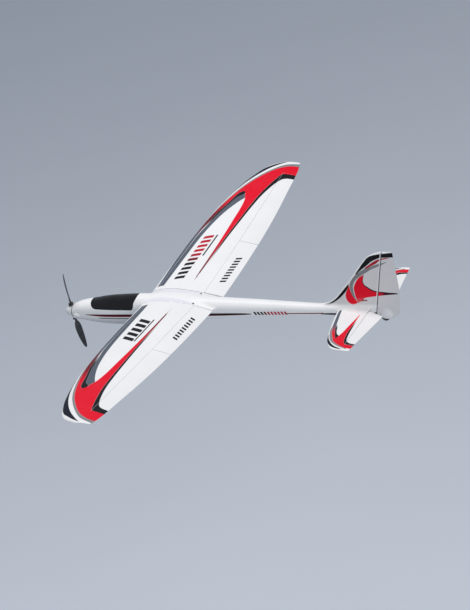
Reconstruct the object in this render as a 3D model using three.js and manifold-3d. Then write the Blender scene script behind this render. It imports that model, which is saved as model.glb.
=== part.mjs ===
// A powered foam sailplane of about 1.5 m span, in millimetres.
// +X is the nose, +Y the port wing, +Z up; the origin is on the flat belly plate under the wing.
import * as THREE from "three";
import { mergeVertices } from "three/addons/utils/BufferGeometryUtils.js";
import Module from "manifold-3d";

const wasm = await Module();
wasm.setup();

// Driving dimensions
const gap = 0.3; // clearance between touching pieces
const noseX = 314.4; // front face of the foam nose
const propZ = 32.3; // height of the propeller shaft
const propTurn = -4.8; // degrees the blades are turned from upright at rest
const bladePivot = { x: 322, radius: 24.5 };
const bladeTip = 128;
const wingRootY = 37;
const hingeZ = 71; // height of the wing's skin hinge, carried in to the centreline
const dihedral = Math.tan(THREE.MathUtils.degToRad(3.38));
const incidence = Math.tan(THREE.MathUtils.degToRad(3));
const flapEnds = [38.5, 310.5];
const aileronEnds = [311.7, 683];
const flapLinkage = { y: 175, radius: 21, back: 55, bevel: 38, travel: 35 };
const aileronLinkage = { y: 470, radius: 17.5, back: 55, bevel: 24, travel: 20 };
const spar = { x: 5, z: 76, radius: 4, half: 150 };
const tail = { hingeX: -634.5, z: 45.5, rootY: 15.5, rodX: -585, rodHalf: 90 };
const elevator = { inner: 20.5, outer: 202, bevel: 28, arm: 10, servoX: -60 };
const rudderAxis = { foot: [-654.5, 53], top: [-707, 227.5] }; // x, z along the raked hinge
const rudder = { bevel: 32, arm: 10, servo: [-110, 42], hornZ: 33 };
const mainWheel = { x: 48, z: 8, radius: 22, width: 13 };
const tailWheel = { x: -673, z: 20, radius: 12.3, width: 8 };
const canopyFloor = 54.3; // height of the hatch's lower edge

const colours = {
  foam: 0xf1f1f2, hatch: 0x0c0d10, blade: 0x15161a, spinner: 0xf4f4f5, metal: 0xb9bcc2, black: 0x1c1d20,
  carbon: 0x26272b, battery: 0x2c5f9e, servo: 0x2f4f9a, tyre: 0x17181a, brass: 0xb8a068,
};
const finishes = { metal: [0.3, 0.9], brass: [0.35, 0.9], hatch: [0.12, 0], blade: [0.35, 0] };

// ---------------------------------------------------------------- solids
const vector = (x, y, z) => new THREE.Vector3(x, y, z);
const lerp = THREE.MathUtils.lerp;
const radians = THREE.MathUtils.degToRad;

function toSolid(geometry) {
  const bare = new THREE.BufferGeometry();
  const source = geometry.index ? geometry.toNonIndexed() : geometry;
  bare.setAttribute("position", source.getAttribute("position"));
  const merged = mergeVertices(bare, 1e-4);
  const triVerts = new Uint32Array(merged.index.array);
  const vertProperties = merged.attributes.position.array;
  const made = new wasm.Manifold(new wasm.Mesh({ numProp: 3, vertProperties, triVerts }));
  if (made.volume() > 0) return made;
  for (let i = 0; i < triVerts.length; i += 3) {
    [triVerts[i + 1], triVerts[i + 2]] = [triVerts[i + 2], triVerts[i + 1]];
  }
  return new wasm.Manifold(new wasm.Mesh({ numProp: 3, vertProperties, triVerts }));
}

function toGeometry(solid) {
  const mesh = solid.getMesh();
  const indexed = new THREE.BufferGeometry();
  indexed.setAttribute("position", new THREE.BufferAttribute(new Float32Array(mesh.vertProperties), 3));
  indexed.setIndex(new THREE.BufferAttribute(new Uint32Array(mesh.triVerts), 1));
  const flat = indexed.toNonIndexed();
  flat.computeVertexNormals();
  return flat;
}

const join = (first, ...rest) => rest.reduce((sum, next) => sum.add(next), first);
const cut = (first, ...rest) => rest.reduce((left, next) => left.subtract(next), first);

function mirror(solid) {
  return toSolid(toGeometry(solid).applyMatrix4(new THREE.Matrix4().makeScale(1, -1, 1)));
}

// A closed skin through rings of equal count, with both ends closed as fans.
function loft(rings) {
  const points = rings.flat();
  const count = rings[0].length;
  const faces = [];
  for (let r = 0; r + 1 < rings.length; r++) {
    for (let i = 0; i < count; i++) {
      const a = r * count + i;
      const b = r * count + ((i + 1) % count);
      faces.push(a, b, b + count, a, b + count, a + count);
    }
  }
  for (const [ring, turn] of [[0, -1], [rings.length - 1, 1]]) {
    const middle = rings[ring].reduce((sum, p) => sum.add(p), vector(0, 0, 0)).divideScalar(count);
    points.push(middle);
    for (let i = 0; i < count; i++) {
      const a = ring * count + i;
      const b = ring * count + ((i + 1) % count);
      faces.push(points.length - 1, turn > 0 ? a : b, turn > 0 ? b : a);
    }
  }
  const geometry = new THREE.BufferGeometry().setFromPoints(points);
  geometry.setIndex(faces);
  return toSolid(geometry);
}

function box(low, high) {
  const size = high.map((v, i) => v - low[i]);
  const middle = high.map((v, i) => (v + low[i]) / 2);
  return toSolid(new THREE.BoxGeometry(...size).translate(...middle));
}

// An outline of [u, w] points, extruded between two distances along the frame's third axis.
function prism(outline, frame, from, to) {
  const shape = new THREE.Shape(outline.map(([u, w]) => new THREE.Vector2(u, w)));
  const geometry = new THREE.ExtrudeGeometry(shape, { depth: to - from, bevelEnabled: false });
  return toSolid(geometry.translate(0, 0, from).applyMatrix4(frame));
}

function rod(from, to, radius, sides = 10) {
  const [a, b] = [vector(...from), vector(...to)];
  const geometry = new THREE.CylinderGeometry(radius, radius, a.distanceTo(b), sides);
  const turn = new THREE.Quaternion().setFromUnitVectors(vector(0, 1, 0), b.clone().sub(a).normalize());
  return toSolid(geometry.applyQuaternion(turn).translate(...a.add(b).divideScalar(2).toArray()));
}

// A profile of [along, radius] points turned about an axis along X (or Y) through a centre.
function turned(profile, centre, axis = "x", sides = 24) {
  const geometry = new THREE.LatheGeometry(profile.map(([t, r]) => new THREE.Vector2(r, t)), sides);
  if (axis === "x") geometry.rotateZ(-Math.PI / 2);
  return toSolid(geometry.translate(...centre));
}

// A frame whose third axis runs along a hinge, first axis to the rear and second axis up.
function hingeFrame(from, to) {
  const axis = vector(...to).sub(vector(...from)).normalize();
  const up = axis.clone().cross(vector(-1, 0, 0)).normalize();
  const rear = up.clone().cross(axis);
  return new THREE.Matrix4().makeBasis(rear, up, axis).setPosition(...from);
}

// The outline of a flat link: two circles and the straight sides that join them.
function linkOutline(start, end, startRadius, endRadius, grow = 0) {
  const heading = Math.atan2(end[1] - start[1], end[0] - start[0]);
  const arc = (centre, radius, turn) =>
    [-2, -1, 0, 1, 2].map((k) => {
      const angle = heading + turn + (k * Math.PI) / 5;
      return [centre[0] + radius * Math.cos(angle), centre[1] + radius * Math.sin(angle)];
    });
  return [...arc(end, endRadius + grow, 0), ...arc(start, startRadius + grow, Math.PI)];
}

// ---------------------------------------------------------------- wing
// Planform as leading and trailing edge x against y, joined by straight runs.
const leadingEdge = [
  [0, 72], [150, 72], [250, 70.5], [311, 68.5], [400, 64], [450, 61], [500, 55], [550, 47],
  [600, 36], [650, 22], [683, 9], [700, 2], [725, -16], [738, -34], [748, -62],
];
const trailingEdge = [
  [0, -155], [150, -154], [311, -150], [400, -145.5], [500, -138], [600, -128], [700, -118], [748, -109],
];

function along(table, y) {
  const next = Math.max(1, table.findIndex(([at]) => at >= y));
  const [[y0, x0], [y1, x1]] = [table[next - 1], table[next]];
  return lerp(x0, x1, (y - y0) / (y1 - y0));
}

const hingeLineX = (y) => (y < 311 ? lerp(-98.5, -94, y / 311) : lerp(-94, -80, (y - 311) / 372));
const hingeLineZ = (y) => hingeZ + y * dihedral;

// Upper and lower heights of a four-digit aerofoil: 4% camber at 40% chord.
function aerofoil(s, thickness) {
  const camber = s < 0.4 ? 0.25 * (0.8 * s - s * s) : (0.2 + 0.8 * s - s * s) / 9;
  const root = 0.2969 * Math.sqrt(s) - 0.126 * s - 0.3516 * s ** 2 + 0.2843 * s ** 3 - 0.1015 * s ** 4;
  return [camber + 5 * thickness * root, camber - 5 * thickness * root];
}

function wingRing(y) {
  const span = Math.abs(y);
  const nose = along(leadingEdge, span);
  const chord = nose - along(trailingEdge, span);
  const thickness = lerp(0.115, 0.095, Math.max(0, span - 400) / 350);
  const hinge = (nose - hingeLineX(span)) / chord;
  const noseZ = hingeLineZ(span) + hinge * chord * incidence - aerofoil(hinge, thickness)[0] * chord;
  const point = (s, side) => {
    const blunt = (side ? -0.4 : 0.4) * (s === 1);
    const height = aerofoil(s, thickness)[side] * chord + blunt;
    return vector(nose - s * chord, y, noseZ - s * chord * incidence + height);
  };
  const upper = [1, 0.88, hinge, 0.58, 0.42, 0.28, 0.15, 0.06, 0.015].map((s) => point(s, 0));
  const lower = [0, 0.02, 0.08, 0.22, 0.45, hinge, 1].map((s) => point(s, 1));
  return [...upper, ...lower];
}

const wingStations = [
  wingRootY, 150, 250, 311, 400, 500, 600, 650, 683, 700, 725, 738, 748,
];
const wingBlank = loft(wingStations.map(wingRing));

const hingePoint = (y) => [hingeLineX(y), y, hingeLineZ(y)];
const flapFrame = hingeFrame(hingePoint(0), hingePoint(311));
const aileronFrame = hingeFrame(hingePoint(311), hingePoint(683));
const alongHinge = (frame, y) => {
  const origin = vector().setFromMatrixPosition(frame);
  const direction = vector().setFromMatrixColumn(frame, 2);
  return (y - origin.y) / direction.y;
};

// What a top-hinged surface leaves behind the hinge, and the bevelled piece that turns there.
function surfaceCuts(frame, [inner, outer], bevel, innerClearance) {
  const [from, to] = [alongHinge(frame, inner), alongHinge(frame, outer)];
  const lean = 40 * Math.tan(radians(bevel));
  const opening = [[-0.4, 14], [130, 14], [130, -45], [-0.4, -45]];
  const piece = [[0, 0], [0, 12], [120, 12], [120, -40], [lean, -40]];
  return {
    opening: prism(opening, frame, from - innerClearance, to + 0.8),
    piece: prism(piece, frame, from, to),
  };
}

const flapCuts = surfaceCuts(flapFrame, flapEnds, flapLinkage.bevel, 5);
const aileronCuts = surfaceCuts(aileronFrame, aileronEnds, aileronLinkage.bevel, 5);

// One servo linkage: the arm hangs as the horn does, so the rod stays parallel to itself.
const servoSize = { length: 22.5, width: 11.5, height: 17, boss: 2 };
const plateHalf = 0.8;
const clevis = { width: 4, length: 9, from: 1.1, to: 3.4 };

function linkage(frame, { y, radius, back, travel }) {
  const v = alongHinge(frame, y);
  const pivot = [-back, -4];
  const foot = [pivot[0], pivot[1] - radius];
  const horn = [0, -radius];
  const plate = (outline, grow = 0) => prism(outline, frame, v - plateHalf - grow, v + plateHalf + grow);
  const hornOutline = (grow) => linkOutline([10, -7], horn, 5, 2.4, grow);
  const [bodyTop, bodyEnd] = [v - plateHalf - gap - servoSize.boss, v - plateHalf - gap];
  const half = servoSize.width / 2;
  const body = [
    [pivot[0] - servoSize.length + 5.8, pivot[1] - half], [pivot[0] + 5.8, pivot[1] - half],
    [pivot[0] + 5.8, pivot[1] + half], [pivot[0] - servoSize.length + 5.8, pivot[1] + half],
  ];
  const boss = linkOutline(pivot, pivot.map((p) => p + 0.01), 3, 3);
  const pocket = [
    [pivot[0] - 17.3, -60], [pivot[0] + 12, -60], [pivot[0] + 12, pivot[1] + half + 0.4],
    [pivot[0] - 17.3, pivot[1] + half + 0.4],
  ];
  // Room in the wing's rear face for the horn, which swings forward as the surface goes down.
  const swing = -radius * Math.sin(radians(travel)) - 3;
  const hornRoom = [[0.5, -5], [0.5, -40], [swing, -40], [swing, -10], [-2, -5]];
  const bar = linkOutline(foot, horn, 0.9, 0.9);
  const heading = [horn[0] - foot[0], horn[1] - foot[1]].map((d) => d / Math.hypot(back, 4));
  const end = (at, sign) => {
    const reach = at.map((p, i) => p + sign * heading[i] * clevis.length);
    return prism(linkOutline(at, reach, 2, 1.4), frame, v + clevis.from, v + clevis.to);
  };
  return {
    horn: plate(hornOutline(0)),
    hornSlot: plate(hornOutline(gap), gap),
    arm: plate(linkOutline(pivot, foot, 4, 2.4)),
    servo: join(
      prism(body, frame, bodyTop - servoSize.height, bodyTop),
      prism(boss, frame, bodyTop - 0.01, bodyEnd),
    ),
    pocket: join(
      prism(pocket, frame, bodyTop - servoSize.height - 0.4, v + clevis.to + 1.6),
      prism(hornRoom, frame, v - plateHalf - 0.5, v + plateHalf + 0.5),
    ),
    pushrod: join(prism(bar, frame, v + 1.5, v + 3), end(foot, 1), end(horn, -1)),
  };
}

const flapLink = linkage(flapFrame, flapLinkage);
const aileronLink = linkage(aileronFrame, aileronLinkage);
const sparHole = rod([spar.x, -200, spar.z], [spar.x, 200, spar.z], spar.radius + gap);

const wingLeft = cut(
  wingBlank, flapCuts.opening, aileronCuts.opening, flapLink.pocket, aileronLink.pocket, sparHole,
);
const flapLeft = cut(wingBlank.intersect(flapCuts.piece), flapLink.hornSlot);
const aileronLeft = cut(wingBlank.intersect(aileronCuts.piece), aileronLink.hornSlot);

// ---------------------------------------------------------------- fuselage
// Stations as x, centre height, half width, half height, wall.
const stations = [
  [noseX, 32.1, 21.5, 21.6, 5.5], [300, 34.4, 24.6, 25.4, 5.5], [285, 36.6, 27, 28.4, 5.5],
  [262, 37, 29.8, 32.6, 5.5], [236, 37, 32, 37, 6], [205, 38, 34, 41.3, 6], [170, 39, 35, 44, 6],
  [131, 40.8, 35.2, 44.6, 6], [97, 42.6, 35, 44.1, 6], [62, 43.8, 35, 43, 6], [0, 44.8, 34.5, 42.6, 6],
  [-60, 45.5, 33, 37.5, 6], [-98, 46.5, 31.5, 34.5, 6], [-138, 46.5, 29.8, 31, 5.5],
  [-198, 46.5, 27.5, 28, 5], [-258, 46.4, 25.2, 25.2, 4.5], [-398, 43.8, 20, 20, 4],
  [-478, 42.2, 17.5, 17.7, 3.6], [-538, 42, 14.2, 17.2, 3.4], [-598, 42, 10.2, 17, 3.2],
  [-634, 42, 8, 17, 3], [-652, 42, 6, 17, 3],
];

function bodyRing([x, z, width, height], shrink, count = 20) {
  return Array.from({ length: count }, (_, i) => {
    const angle = (2 * i * Math.PI) / count;
    const [c, s] = [Math.cos(angle), Math.sin(angle)];
    const round = (t) => Math.sign(t) * Math.abs(t) ** 0.92;
    return vector(x, (width - shrink) * round(s), z + (height - shrink) * round(c));
  });
}

const outerBody = loft(stations.map((row) => bodyRing(row, 0)));
const cavityStations = stations.map((row, i) => (i === 0 ? [noseX + 10, ...row.slice(1)] : row));
const cavity = loft(
  cavityStations.filter((_, i) => i % 2 === 0 || i > 15).slice(0, -1).map((row) => bodyRing(row, row[4], 16)),
);
const wingStub = loft([-wingRootY + gap, 0, wingRootY - gap].map(wingRing));

const rakeX = (z) => {
  const [[x0, z0], [x1, z1]] = [rudderAxis.foot, rudderAxis.top];
  return x0 + ((z - z0) * (x1 - x0)) / (z1 - z0);
};
// Fin leading edge as height and x, from the boom up to the rounded top.
const finEdge = [
  [40, -472], [61, -484], [66, -505], [76.5, -525], [93, -543], [112, -562], [131, -582], [153.5, -602],
  [176.5, -622], [198, -642], [213.7, -661], [222, -679], [228, -702],
];
const finHalf = (z) => lerp(4.4, 3, (z - 40) / 190);

function finRing([z, nose]) {
  const post = rakeX(z) + 0.5;
  const half = finHalf(z);
  const chord = nose - post;
  const side = [[nose - 0.1 * chord, 0.6], [nose - 0.35 * chord, 1], [post, 0.9]];
  return [
    vector(nose, 0, z), ...side.map(([x, t]) => vector(x, t * half, z)),
    ...side.toReversed().map(([x, t]) => vector(x, -t * half, z)),
  ];
}
const fin = loft(finEdge.map(finRing));

// Everything behind the raked hinge line, for trimming the tail.
const sideFrame = new THREE.Matrix4().makeBasis(vector(1, 0, 0), vector(0, 0, 1), vector(0, -1, 0));
const behindPost = prism(
  [[rakeX(-40) + 0.5, -40], [rakeX(300) + 0.5, 300], [-900, 300], [-900, -40]], sideFrame, -60, 60,
);

// Tailplane planform: leading and trailing edges against y.
const tailLeading = [
  [0, -536], [25, -538], [63, -544], [114, -554], [153, -564], [180, -572.6], [204, -586], [221, -601],
  [230, -621], [234, -645],
];
const tailTrailing = [[0, -693], [44, -687], [202, -664], [234, -660]];

function tailRing(y) {
  const span = Math.abs(y);
  const nose = along(tailLeading, span);
  const chord = nose - along(tailTrailing, span);
  const half = lerp(4.6, 2.4, span / 234);
  const profile = [[0.03, 0.4], [0.12, 0.78], [0.32, 1], [0.62, 0.82], [1, 0.12]];
  return [
    vector(nose, y, tail.z), ...profile.map(([s, t]) => vector(nose - s * chord, y, tail.z + t * half)),
    ...profile.toReversed().map(([s, t]) => vector(nose - s * chord, y, tail.z - t * half)),
  ];
}
const tailBlank = loft([tail.rootY, ...tailLeading.slice(1).map(([y]) => y)].map(tailRing));
const tailStub = loft([-tail.rootY + gap, 0, tail.rootY - gap].map(tailRing));

const planFrame = new THREE.Matrix4();
const behindElevator = (y0, y1) => box([-720, y0, 30], [tail.hingeX + 0.5, y1, 62]);
const elevatorPlan = prism(
  [
    [tail.hingeX + 1, elevator.inner], [-641, elevator.inner + 1], [-700, 50], [-700, elevator.outer],
    [tail.hingeX + 1, elevator.outer],
  ],
  planFrame, 20, 70,
);
const bevelRun = 10 * Math.tan(radians(elevator.bevel));
const elevatorWedge = prism(
  [
    [tail.hingeX, tail.z], [tail.hingeX - bevelRun, tail.z + 10], [-720, tail.z + 10],
    [-720, tail.z - 10], [tail.hingeX - bevelRun, tail.z - 10],
  ],
  sideFrame, -240, 240,
);
const joinerHalf = 32;
const joinerHole = (grow) =>
  rod([tail.hingeX, -joinerHalf - 1, tail.z], [tail.hingeX, joinerHalf + 1, tail.z], 2 + grow);
const tailRodHole = rod(
  [tail.rodX, -tail.rodHalf - 1, tail.z], [tail.rodX, tail.rodHalf + 1, tail.z], 2 + gap,
);
const tailLeft = cut(tailBlank, behindElevator(0, elevator.outer + 0.9), joinerHole(0.6), tailRodHole);
const elevatorLeft = cut(tailBlank.intersect(elevatorPlan).intersect(elevatorWedge), joinerHole(gap));

// Hatch outline from the side: raked rear edge, level lower edge and a rounded front.
function hatchOutline(grow) {
  const [floor, front, rear] = [canopyFloor - grow, 247 + grow, 103 - grow];
  const corner = [0, 1, 2, 3].map((k) => {
    const angle = (k * Math.PI) / 6;
    return [front - 19 + 19 * Math.sin(angle), floor + 19 - 19 * Math.cos(angle)];
  });
  return [[rear, floor], ...corner, [front, 110], [rear - 12, 110], [rear - 9, 88], [rear, 74]];
}
const hatchOpening = prism(hatchOutline(0.35), sideFrame, -60, 60);
const hatch = cut(outerBody.intersect(prism(hatchOutline(0), sideFrame, -60, 60)), cavity);

// Belly carrier of the main wheel: a slotted box with a flat plate that lies flush with the skin.
function wheelCarrier(grow) {
  const [x, wall] = [mainWheel.x, mainWheel.width / 2 + 4.5 + grow];
  return join(
    box([x - 26 - grow, -wall, -2 * grow], [x + 26 + grow, wall, 33 + grow]),
    box([-44 - grow, -14 - grow, -20 * grow], [x + 36 + grow, 14 + grow, 1.6 + grow]),
  );
}
const axleAt = (at, half, radius) => rod([at.x, -half, at.z], [at.x, half, at.z], radius, 12);
const wheelSlot = mainWheel.width / 2 + 2.3;
const mainWheelHousing = cut(
  wheelCarrier(0),
  box([mainWheel.x - 24, -wheelSlot, -1], [mainWheel.x + 24, wheelSlot, 31.2]),
  axleAt(mainWheel, 20, 1.8),
);

// The moulded cooling scoop on each cheek of the nose.
const scoop = (side) =>
  toSolid(new THREE.SphereGeometry(1, 10, 6).scale(11, 4.5, 5).translate(297, side * 23.6, 31.5));
// Room for the rudder pushrod along the starboard side, deeper where its horn swings forward.
const rudderRodSlot = join(
  box([-651, -13.2, 29.2], [-458, -6.1, 38.6]),
  box([-651, -13.2, 31.4], [-643, -4.6, 36.6]),
);
const screwAt = [-92, 28, 66];
const screwHole = (side) =>
  join(
    rod([screwAt[0], side * screwAt[1], 55], [screwAt[0], side * screwAt[1], 90], 1.8),
    rod([screwAt[0], side * screwAt[1], 70.6], [screwAt[0], side * screwAt[1], 90], 3.6),
  );
const hornRoom = box([-650, -4, 28], [-620, 5, 50]);

const fuselage = cut(
  join(outerBody, wingStub, tailStub, fin, scoop(1), scoop(-1)),
  cavity, behindPost, hatchOpening, behindElevator(8.6, 20), behindElevator(-20, -8.6),
  wheelCarrier(gap), sparHole, tailRodHole, joinerHole(0.6), hornRoom,
  rudderRodSlot, screwHole(1), screwHole(-1),
);
const seam = box([-900, -0.15, -50], [500, 0.15, 400]);
const [halfA, halfB] = cut(fuselage, seam).decompose().sort((a, b) => b.volume() - a.volume());
const portFirst = halfA.boundingBox().max[1] > halfB.boundingBox().max[1] + 1;
const [fuselageLeft, fuselageRight] = portFirst ? [halfA, halfB] : [halfB, halfA];

// ---------------------------------------------------------------- rudder and tail wheel
const rudderTrailing = [
  [20, -716], [26, -718], [37, -721], [70, -727], [112, -734.5], [151, -736], [190, -737], [228, -739.5],
];
function rudderRing(z) {
  const tip = rakeX(z);
  const half = finHalf(z) * 0.9;
  const shoulder = tip - half * Math.tan(radians(rudder.bevel));
  const back = along(rudderTrailing, z);
  const side = [[shoulder, half], [lerp(shoulder, back, 0.5), half * 0.62], [back, 0.5]];
  return [
    vector(tip, 0, z), ...side.map(([x, y]) => vector(x, y, z)),
    ...side.toReversed().map(([x, y]) => vector(x, -y, z)),
  ];
}
const raked = hingeFrame([rakeX(rudder.hornZ), 0, rudder.hornZ], [rakeX(200), 0, 200]);
// The raked frame's first axis points to the rear and its second to starboard or port.
const rakedY = Math.sign(vector().setFromMatrixColumn(raked, 1).y);
const starboard = (u, y) => [u, -y * rakedY];
const rudderHornOutline = (grow) => linkOutline(starboard(10, 1.5), starboard(0, rudder.arm), 4, 2.4, grow);
const fairing = toSolid(
  new THREE.SphereGeometry(1, 14, 9).scale(19.5, 8.6, 15).translate(tailWheel.x - 5, 0, 29),
);
const tailWheelSlot = rod([tailWheel.x, -5, tailWheel.z], [tailWheel.x, 5, tailWheel.z], 14.2, 16);
const rudderSolid = cut(
  join(loft([20, 26, 37, 70, 112, 151, 190, 228].map(rudderRing)), fairing),
  prism(rudderHornOutline(gap), raked, -plateHalf - gap, plateHalf + gap),
  tailWheelSlot, box([tailWheel.x - 14.2, -5, 0], [tailWheel.x + 14.2, 5, tailWheel.z]),
  axleAt(tailWheel, 20, 1.3),
);

// ---------------------------------------------------------------- propeller and motor
const shaft = (from, to, outer, inner) => [[from, inner], [from, outer], [to, outer], [to, inner], [from, inner]];
const aboutShaft = (profile, sides) => turned(profile, [0, 0, propZ], "x", sides);
const motorMount = aboutShaft(shaft(308, 313.6, 15.3, 2.7));
const motorStator = aboutShaft([
  [281, 2.6], [281, 10.6], [303.4, 10.6], [303.4, 12], [307.7, 12], [307.7, 2.6], [281, 2.6],
], 20);
const motorBell = aboutShaft([
  [276, 0], [276, 13], [277, 14], [302.8, 14], [302.8, 11.2], [279, 11.2], [279, 2], [331, 2], [331, 0],
], 20);
const backplate = aboutShaft(shaft(314.9, 316.7, 21.2, 2.3));

const nose = 29;
const bulb = (radius, length, count) =>
  Array.from({ length: count + 1 }, (_, i) => {
    const t = Math.sin((i * Math.PI) / 2 / count);
    return [317 + t * length, radius * Math.sqrt(1 - t ** 1.75)];
  });
const spinnerProfile = [...bulb(21.2, nose, 7), ...bulb(19.6, nose - 2.4, 6).toReversed(), [317, 21.2]];
const propFrame = new THREE.Matrix4()
  .makeTranslation(0, 0, propZ)
  .multiply(new THREE.Matrix4().makeRotationX(radians(propTurn)));
const inProp = (solid) => toSolid(toGeometry(solid).applyMatrix4(propFrame));
const halfTurn = (solid) => toSolid(toGeometry(solid).applyMatrix4(new THREE.Matrix4().makeRotationX(Math.PI)));
const spinner = cut(
  aboutShaft(spinnerProfile, 22),
  inProp(box([316, -6.4, 11], [329.5, 6.4, 30])), inProp(box([316, -6.4, -30], [329.5, 6.4, -11])),
);

const yokeArm = cut(
  box([317.1, -5.5, -1], [327, 5.5, 28]),
  box([316, -3, bladePivot.radius - 5], [328, 3, 30]),
);
const pivotPin = rod([bladePivot.x, -5, bladePivot.radius], [bladePivot.x, 5, bladePivot.radius], 1.4);
const yokeHalf = join(yokeArm, pivotPin);
const yoke = cut(join(yokeHalf, halfTurn(yokeHalf)), rod([310, 0, 0], [335, 0, 0], 2.3, 20));

// Blade stations as radius, chord, thickness and pitch in degrees.
const bladeStations = [
  [27, 5, 4.6, 90], [34, 7, 4.4, 70], [46, 17, 3.6, 36], [62, 21.5, 3, 29], [84, 21, 2.5, 23],
  [104, 17.5, 2, 19], [119, 12, 1.6, 16], [bladeTip, 4, 1, 15],
];
function bladeRing([radius, chord, thickness, pitch]) {
  const [c, s] = [Math.cos(radians(pitch)), Math.sin(radians(pitch))];
  return Array.from({ length: 10 }, (_, i) => {
    const angle = (i * Math.PI) / 5;
    const across = (chord / 2) * Math.cos(angle);
    const up = (thickness / 2) * Math.sin(angle);
    return vector(bladePivot.x + across * s + up * c, -across * c + up * s, radius);
  });
}
const { x: pivotX, radius: pivotRadius } = bladePivot;
const bladeSolid = cut(
  join(
    rod([pivotX, -2.6, pivotRadius], [pivotX, 2.6, pivotRadius], 4.2, 16),
    loft(bladeStations.map(bladeRing)),
  ),
  rod([pivotX, -8, pivotRadius], [pivotX, 8, pivotRadius], 1.75, 14),
);

// ---------------------------------------------------------------- tail linkages
const elevatorPivot = [elevator.servoX, tail.z];
const elevatorFoot = [elevator.servoX, tail.z - elevator.arm];
const joinerHorn = linkOutline([tail.hingeX, tail.z], [tail.hingeX, elevatorFoot[1]], 3.2, 2.2);
const elevatorJoiner = join(
  rod([tail.hingeX, -joinerHalf, tail.z], [tail.hingeX, joinerHalf, tail.z], 2),
  prism(joinerHorn, sideFrame, -plateHalf, plateHalf),
);
// The side frame's third axis points to starboard, so a distance to port is negative in it.
const toPort = (outline, from, to) => prism(outline, sideFrame, -to, -from);
const elevatorPushrod = join(
  rod([elevator.servoX, 2.3, elevatorFoot[1]], [tail.hingeX, 2.3, elevatorFoot[1]], 0.9, 8),
  toPort(linkOutline(elevatorFoot, [elevatorFoot[0] - 9, elevatorFoot[1]], 2, 1.4), 1.1, 3.4),
  toPort(linkOutline([tail.hingeX, elevatorFoot[1]], [tail.hingeX + 9, elevatorFoot[1]], 2, 1.4), 1.1, 3.4),
);
const elevatorArm = toPort(linkOutline(elevatorPivot, elevatorFoot, 4, 2.4), 3.7, 5.3);
const elevatorServo = join(
  box([elevator.servoX - 5.8, 7.6, tail.z - 5.75], [elevator.servoX + 16.7, 24, tail.z + 5.75]),
  rod([elevator.servoX, 5.6, tail.z], [elevator.servoX, 8, tail.z], 3),
);

const rudderServoFrame = raked.clone().setPosition(rudder.servo[0], 0, rudder.servo[1]);
const armEnd = starboard(0, rudder.arm);
const rudderArm = prism(linkOutline([0, 0], armEnd, 4, 2.4), rudderServoFrame, -plateHalf, plateHalf);
const servoAbove = (outline, from, to) => prism(outline, rudderServoFrame, from, to);
const rudderServo = join(
  servoAbove([[-5.8, -5.75], [16.7, -5.75], [16.7, 5.75], [-5.8, 5.75]], 3.1, 20.1),
  servoAbove(linkOutline([0, 0], [0.01, 0], 3, 3), 1.1, 3.2),
);
const rakedPoint = (frame, u, w, v) => vector(u, w, v).applyMatrix4(frame).toArray();
const rudderRodEnds = [rudderServoFrame, raked].map((frame) => rakedPoint(frame, ...armEnd, -2.7));
const clevisOn = (frame, run) =>
  prism(linkOutline(armEnd, [armEnd[0] + run, armEnd[1]], 2, 1.4), frame, -clevis.to, -clevis.from);
const rudderPushrod = join(
  rod(...rudderRodEnds, 0.9, 8), clevisOn(rudderServoFrame, 9), clevisOn(raked, -9),
);

// ---------------------------------------------------------------- wheels
const tyreProfile = (r, w, bore) => [
  [-w, bore], [-w, r - 4], [-w * 0.72, r - 1.2], [0, r], [w * 0.72, r - 1.2], [w, r - 4], [w, bore], [-w, bore],
];
const hubProfile = (r, w, bore) => [[-w, bore], [-w, r], [w, r], [w, bore], [-w, bore]];
const mainTyre = turned(
  tyreProfile(mainWheel.radius, mainWheel.width / 2, 12), [mainWheel.x, 0, mainWheel.z], "y",
);
const mainHub = turned(
  hubProfile(11.6, mainWheel.width / 2 + 0.8, 1.8), [mainWheel.x, 0, mainWheel.z], "y",
);
const tailTyre = turned(
  tyreProfile(tailWheel.radius, tailWheel.width / 2, 1.4), [tailWheel.x, 0, tailWheel.z], "y", 20,
);

// ---------------------------------------------------------------- assembly
const plane = new THREE.Group();

function add(name, solid, colour) {
  const [roughness, metalness] = finishes[colour] ?? [0.6, 0];
  const material = new THREE.MeshStandardMaterial({ color: colours[colour], roughness, metalness });
  const mesh = new THREE.Mesh(toGeometry(solid), material);
  mesh.name = name;
  plane.add(mesh);
}

function addPair(name, solid, colour) {
  add(`${name}_left`, solid, colour);
  add(`${name}_right`, mirror(solid), colour);
}

add("fuselage_left", fuselageLeft, "foam");
add("fuselage_right", fuselageRight, "foam");
add("canopy_hatch", hatch, "hatch");
addPair("wing", wingLeft, "foam");
addPair("flap", flapLeft, "foam");
addPair("aileron", aileronLeft, "foam");
addPair("stabilizer", tailLeft, "foam");
addPair("elevator", elevatorLeft, "foam");
add("rudder", rudderSolid, "foam");

for (const [name, link] of [["flap", flapLink], ["aileron", aileronLink]]) {
  addPair(`${name}_horn`, link.horn, "black");
  addPair(`${name}_servo`, link.servo, "servo");
  addPair(`${name}_servo_arm`, link.arm, "foam");
  addPair(`${name}_pushrod`, link.pushrod, "metal");
}

add("wing_joiner_tube", turned(
  shaft(-spar.half, spar.half, spar.radius, 3), [spar.x, 0, spar.z], "y", 16), "carbon");
add("stabilizer_joiner_rod", rod(
  [tail.rodX, -tail.rodHalf, tail.z], [tail.rodX, tail.rodHalf, tail.z], 2), "carbon");
const screw = join(
  rod([screwAt[0], screwAt[1], 57], [screwAt[0], screwAt[1], 72], 1.5),
  rod([screwAt[0], screwAt[1], 70.9], [screwAt[0], screwAt[1], 74], 3.2, 16),
);
addPair("wing_screw", screw, "black");

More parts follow.
